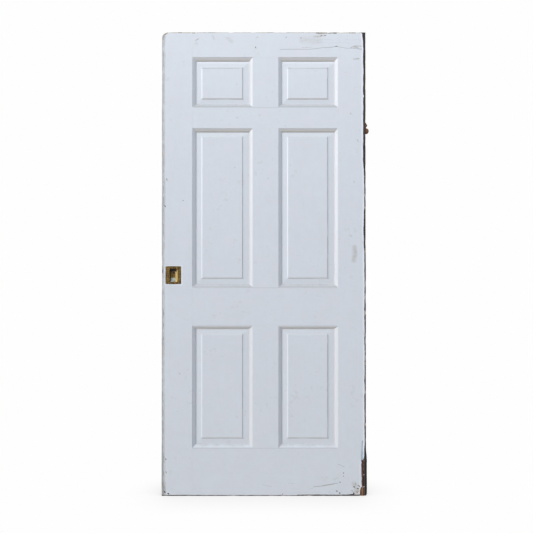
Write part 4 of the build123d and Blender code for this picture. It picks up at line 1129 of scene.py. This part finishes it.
# a soft studio: brighter above and to the left, dimmer to the right and below
level = world_mul(world_ease(split.outputs[2], -0.6, 0.9, 0.68, 1.02), world_ease(split.outputs[0], -1.0, 1.0, 1.55, 0.50))
tint = wt.nodes.new("ShaderNodeMix")
tint.data_type = "RGBA"
tint.blend_type = "MULTIPLY"
tint.inputs["Factor"].default_value = 1.0
tint.inputs[6].default_value = (0.496, 0.553, 0.655, 1)
wt.links.new(level, tint.inputs[7])
pick = wt.nodes.new("ShaderNodeMix")
pick.data_type = "RGBA"
wt.links.new(path.outputs["Is Camera Ray"], pick.inputs["Factor"])
wt.links.new(tint.outputs[2], pick.inputs[6])
pick.inputs[7].default_value = (0.99, 0.99, 0.99, 1)
wt.links.new(pick.outputs[2], bg.inputs["Color"])
bg.inputs["Strength"].default_value = 1.0

floor_m = bpy.data.materials.new("pale_floor")
floor_m.use_nodes = True
ft = floor_m.node_tree
for nd in list(ft.nodes):
    ft.nodes.remove(nd)
out = ft.nodes.new("ShaderNodeOutputMaterial")
emi = ft.nodes.new("ShaderNodeEmission")
emi.inputs["Strength"].default_value = 1.0
# painted shadow: for camera rays the floor glows white and is darkened by ambient occlusion near the leaf, more behind
# it than in front
near = ft.nodes.new("ShaderNodeAmbientOcclusion")
near.samples = 16
near.inputs["Distance"].default_value = 0.19
place = ft.nodes.new("ShaderNodeTexCoord")
pxyz = ft.nodes.new("ShaderNodeSeparateXYZ")
ft.links.new(place.outputs["Object"], pxyz.inputs[0])
depth = ft.nodes.new("ShaderNodeMapRange")
ft.links.new(pxyz.outputs[1], depth.inputs["Value"])
for key, val in (("From Min", -0.03), ("From Max", 0.02), ("To Min", 0.20), ("To Max", 0.62)):
    depth.inputs[key].default_value = val
shade = ft.nodes.new("ShaderNodeMix")
shade.data_type = "RGBA"
shade.blend_type = "MULTIPLY"
shade.inputs[6].default_value = (0.99, 0.99, 0.99, 1)
ft.links.new(depth.outputs["Result"], shade.inputs["Factor"])
ft.links.new(near.outputs["AO"], shade.inputs[7])
ft.links.new(shade.outputs[2], emi.inputs["Color"])
low = ft.nodes.new("ShaderNodeBsdfDiffuse")
low.inputs["Color"].default_value = (0.50, 0.47, 0.43, 1)
fpath = ft.nodes.new("ShaderNodeLightPath")
which = ft.nodes.new("ShaderNodeMixShader")
ft.links.new(fpath.outputs["Is Camera Ray"], which.inputs[0])
ft.links.new(low.outputs[0], which.inputs[1])
ft.links.new(emi.outputs[0], which.inputs[2])
ft.links.new(which.outputs[0], out.inputs["Surface"])
fme = bpy.data.meshes.new("floor")
R = 9.0
fme.from_pydata([(-R, -R, 0), (R, -R, 0), (R, R, 0), (-R, R, 0)], [], [(0, 1, 2, 3)])
fme.materials.append(floor_m)
floor = bpy.data.objects.new("floor", fme)
floor.location = (0, 0, -0.0004)
bpy.context.scene.collection.objects.link(floor)


def area(name, loc, aim, size, power, colour):
    d = bpy.data.lights.new(name, "AREA")
    d.shape = "RECTANGLE"
    d.size, d.size_y = size
    d.energy = power
    d.color = colour
    o = bpy.data.objects.new(name, d)
    o.location = loc
    o.rotation_mode = "QUATERNION"
    o.rotation_quaternion = (Vector(aim) - Vector(loc)).to_track_quat("-Z", "Y")
    bpy.context.scene.collection.objects.link(o)
    return o


sun = bpy.data.lights.new("key", "SUN")
sun.energy = 1.50
sun.angle = math.radians(24)
sun.color = (0.97, 0.985, 1.0)
key = bpy.data.objects.new("key", sun)
key.rotation_mode = "QUATERNION"
key.rotation_quaternion = Vector((0.76, 0.58, -0.26)).to_track_quat("-Z", "Y")
key.location = (-3.1, -2.7, 2.6)
bpy.context.scene.collection.objects.link(key)
area("overhead", (-0.2, -2.3, 3.7), (0.0, 0.0, 1.3), (3.2, 1.4), 28.0, (0.93, 0.965, 1.0))

cam_d = bpy.data.cameras.new("camera")
cam_d.sensor_width = 36.0
cam_d.lens = 35.325
cam = bpy.data.objects.new("camera", cam_d)
bpy.context.scene.collection.objects.link(cam)
cam.location = (0.01257, -2.36576, 1.01672)
cam.rotation_euler = (math.radians(90.0 + 0.27), 0, 0)
bpy.context.scene.camera = cam
bpy.context.scene.view_settings.view_transform = "Standard"

bpy.context.view_layer.update()
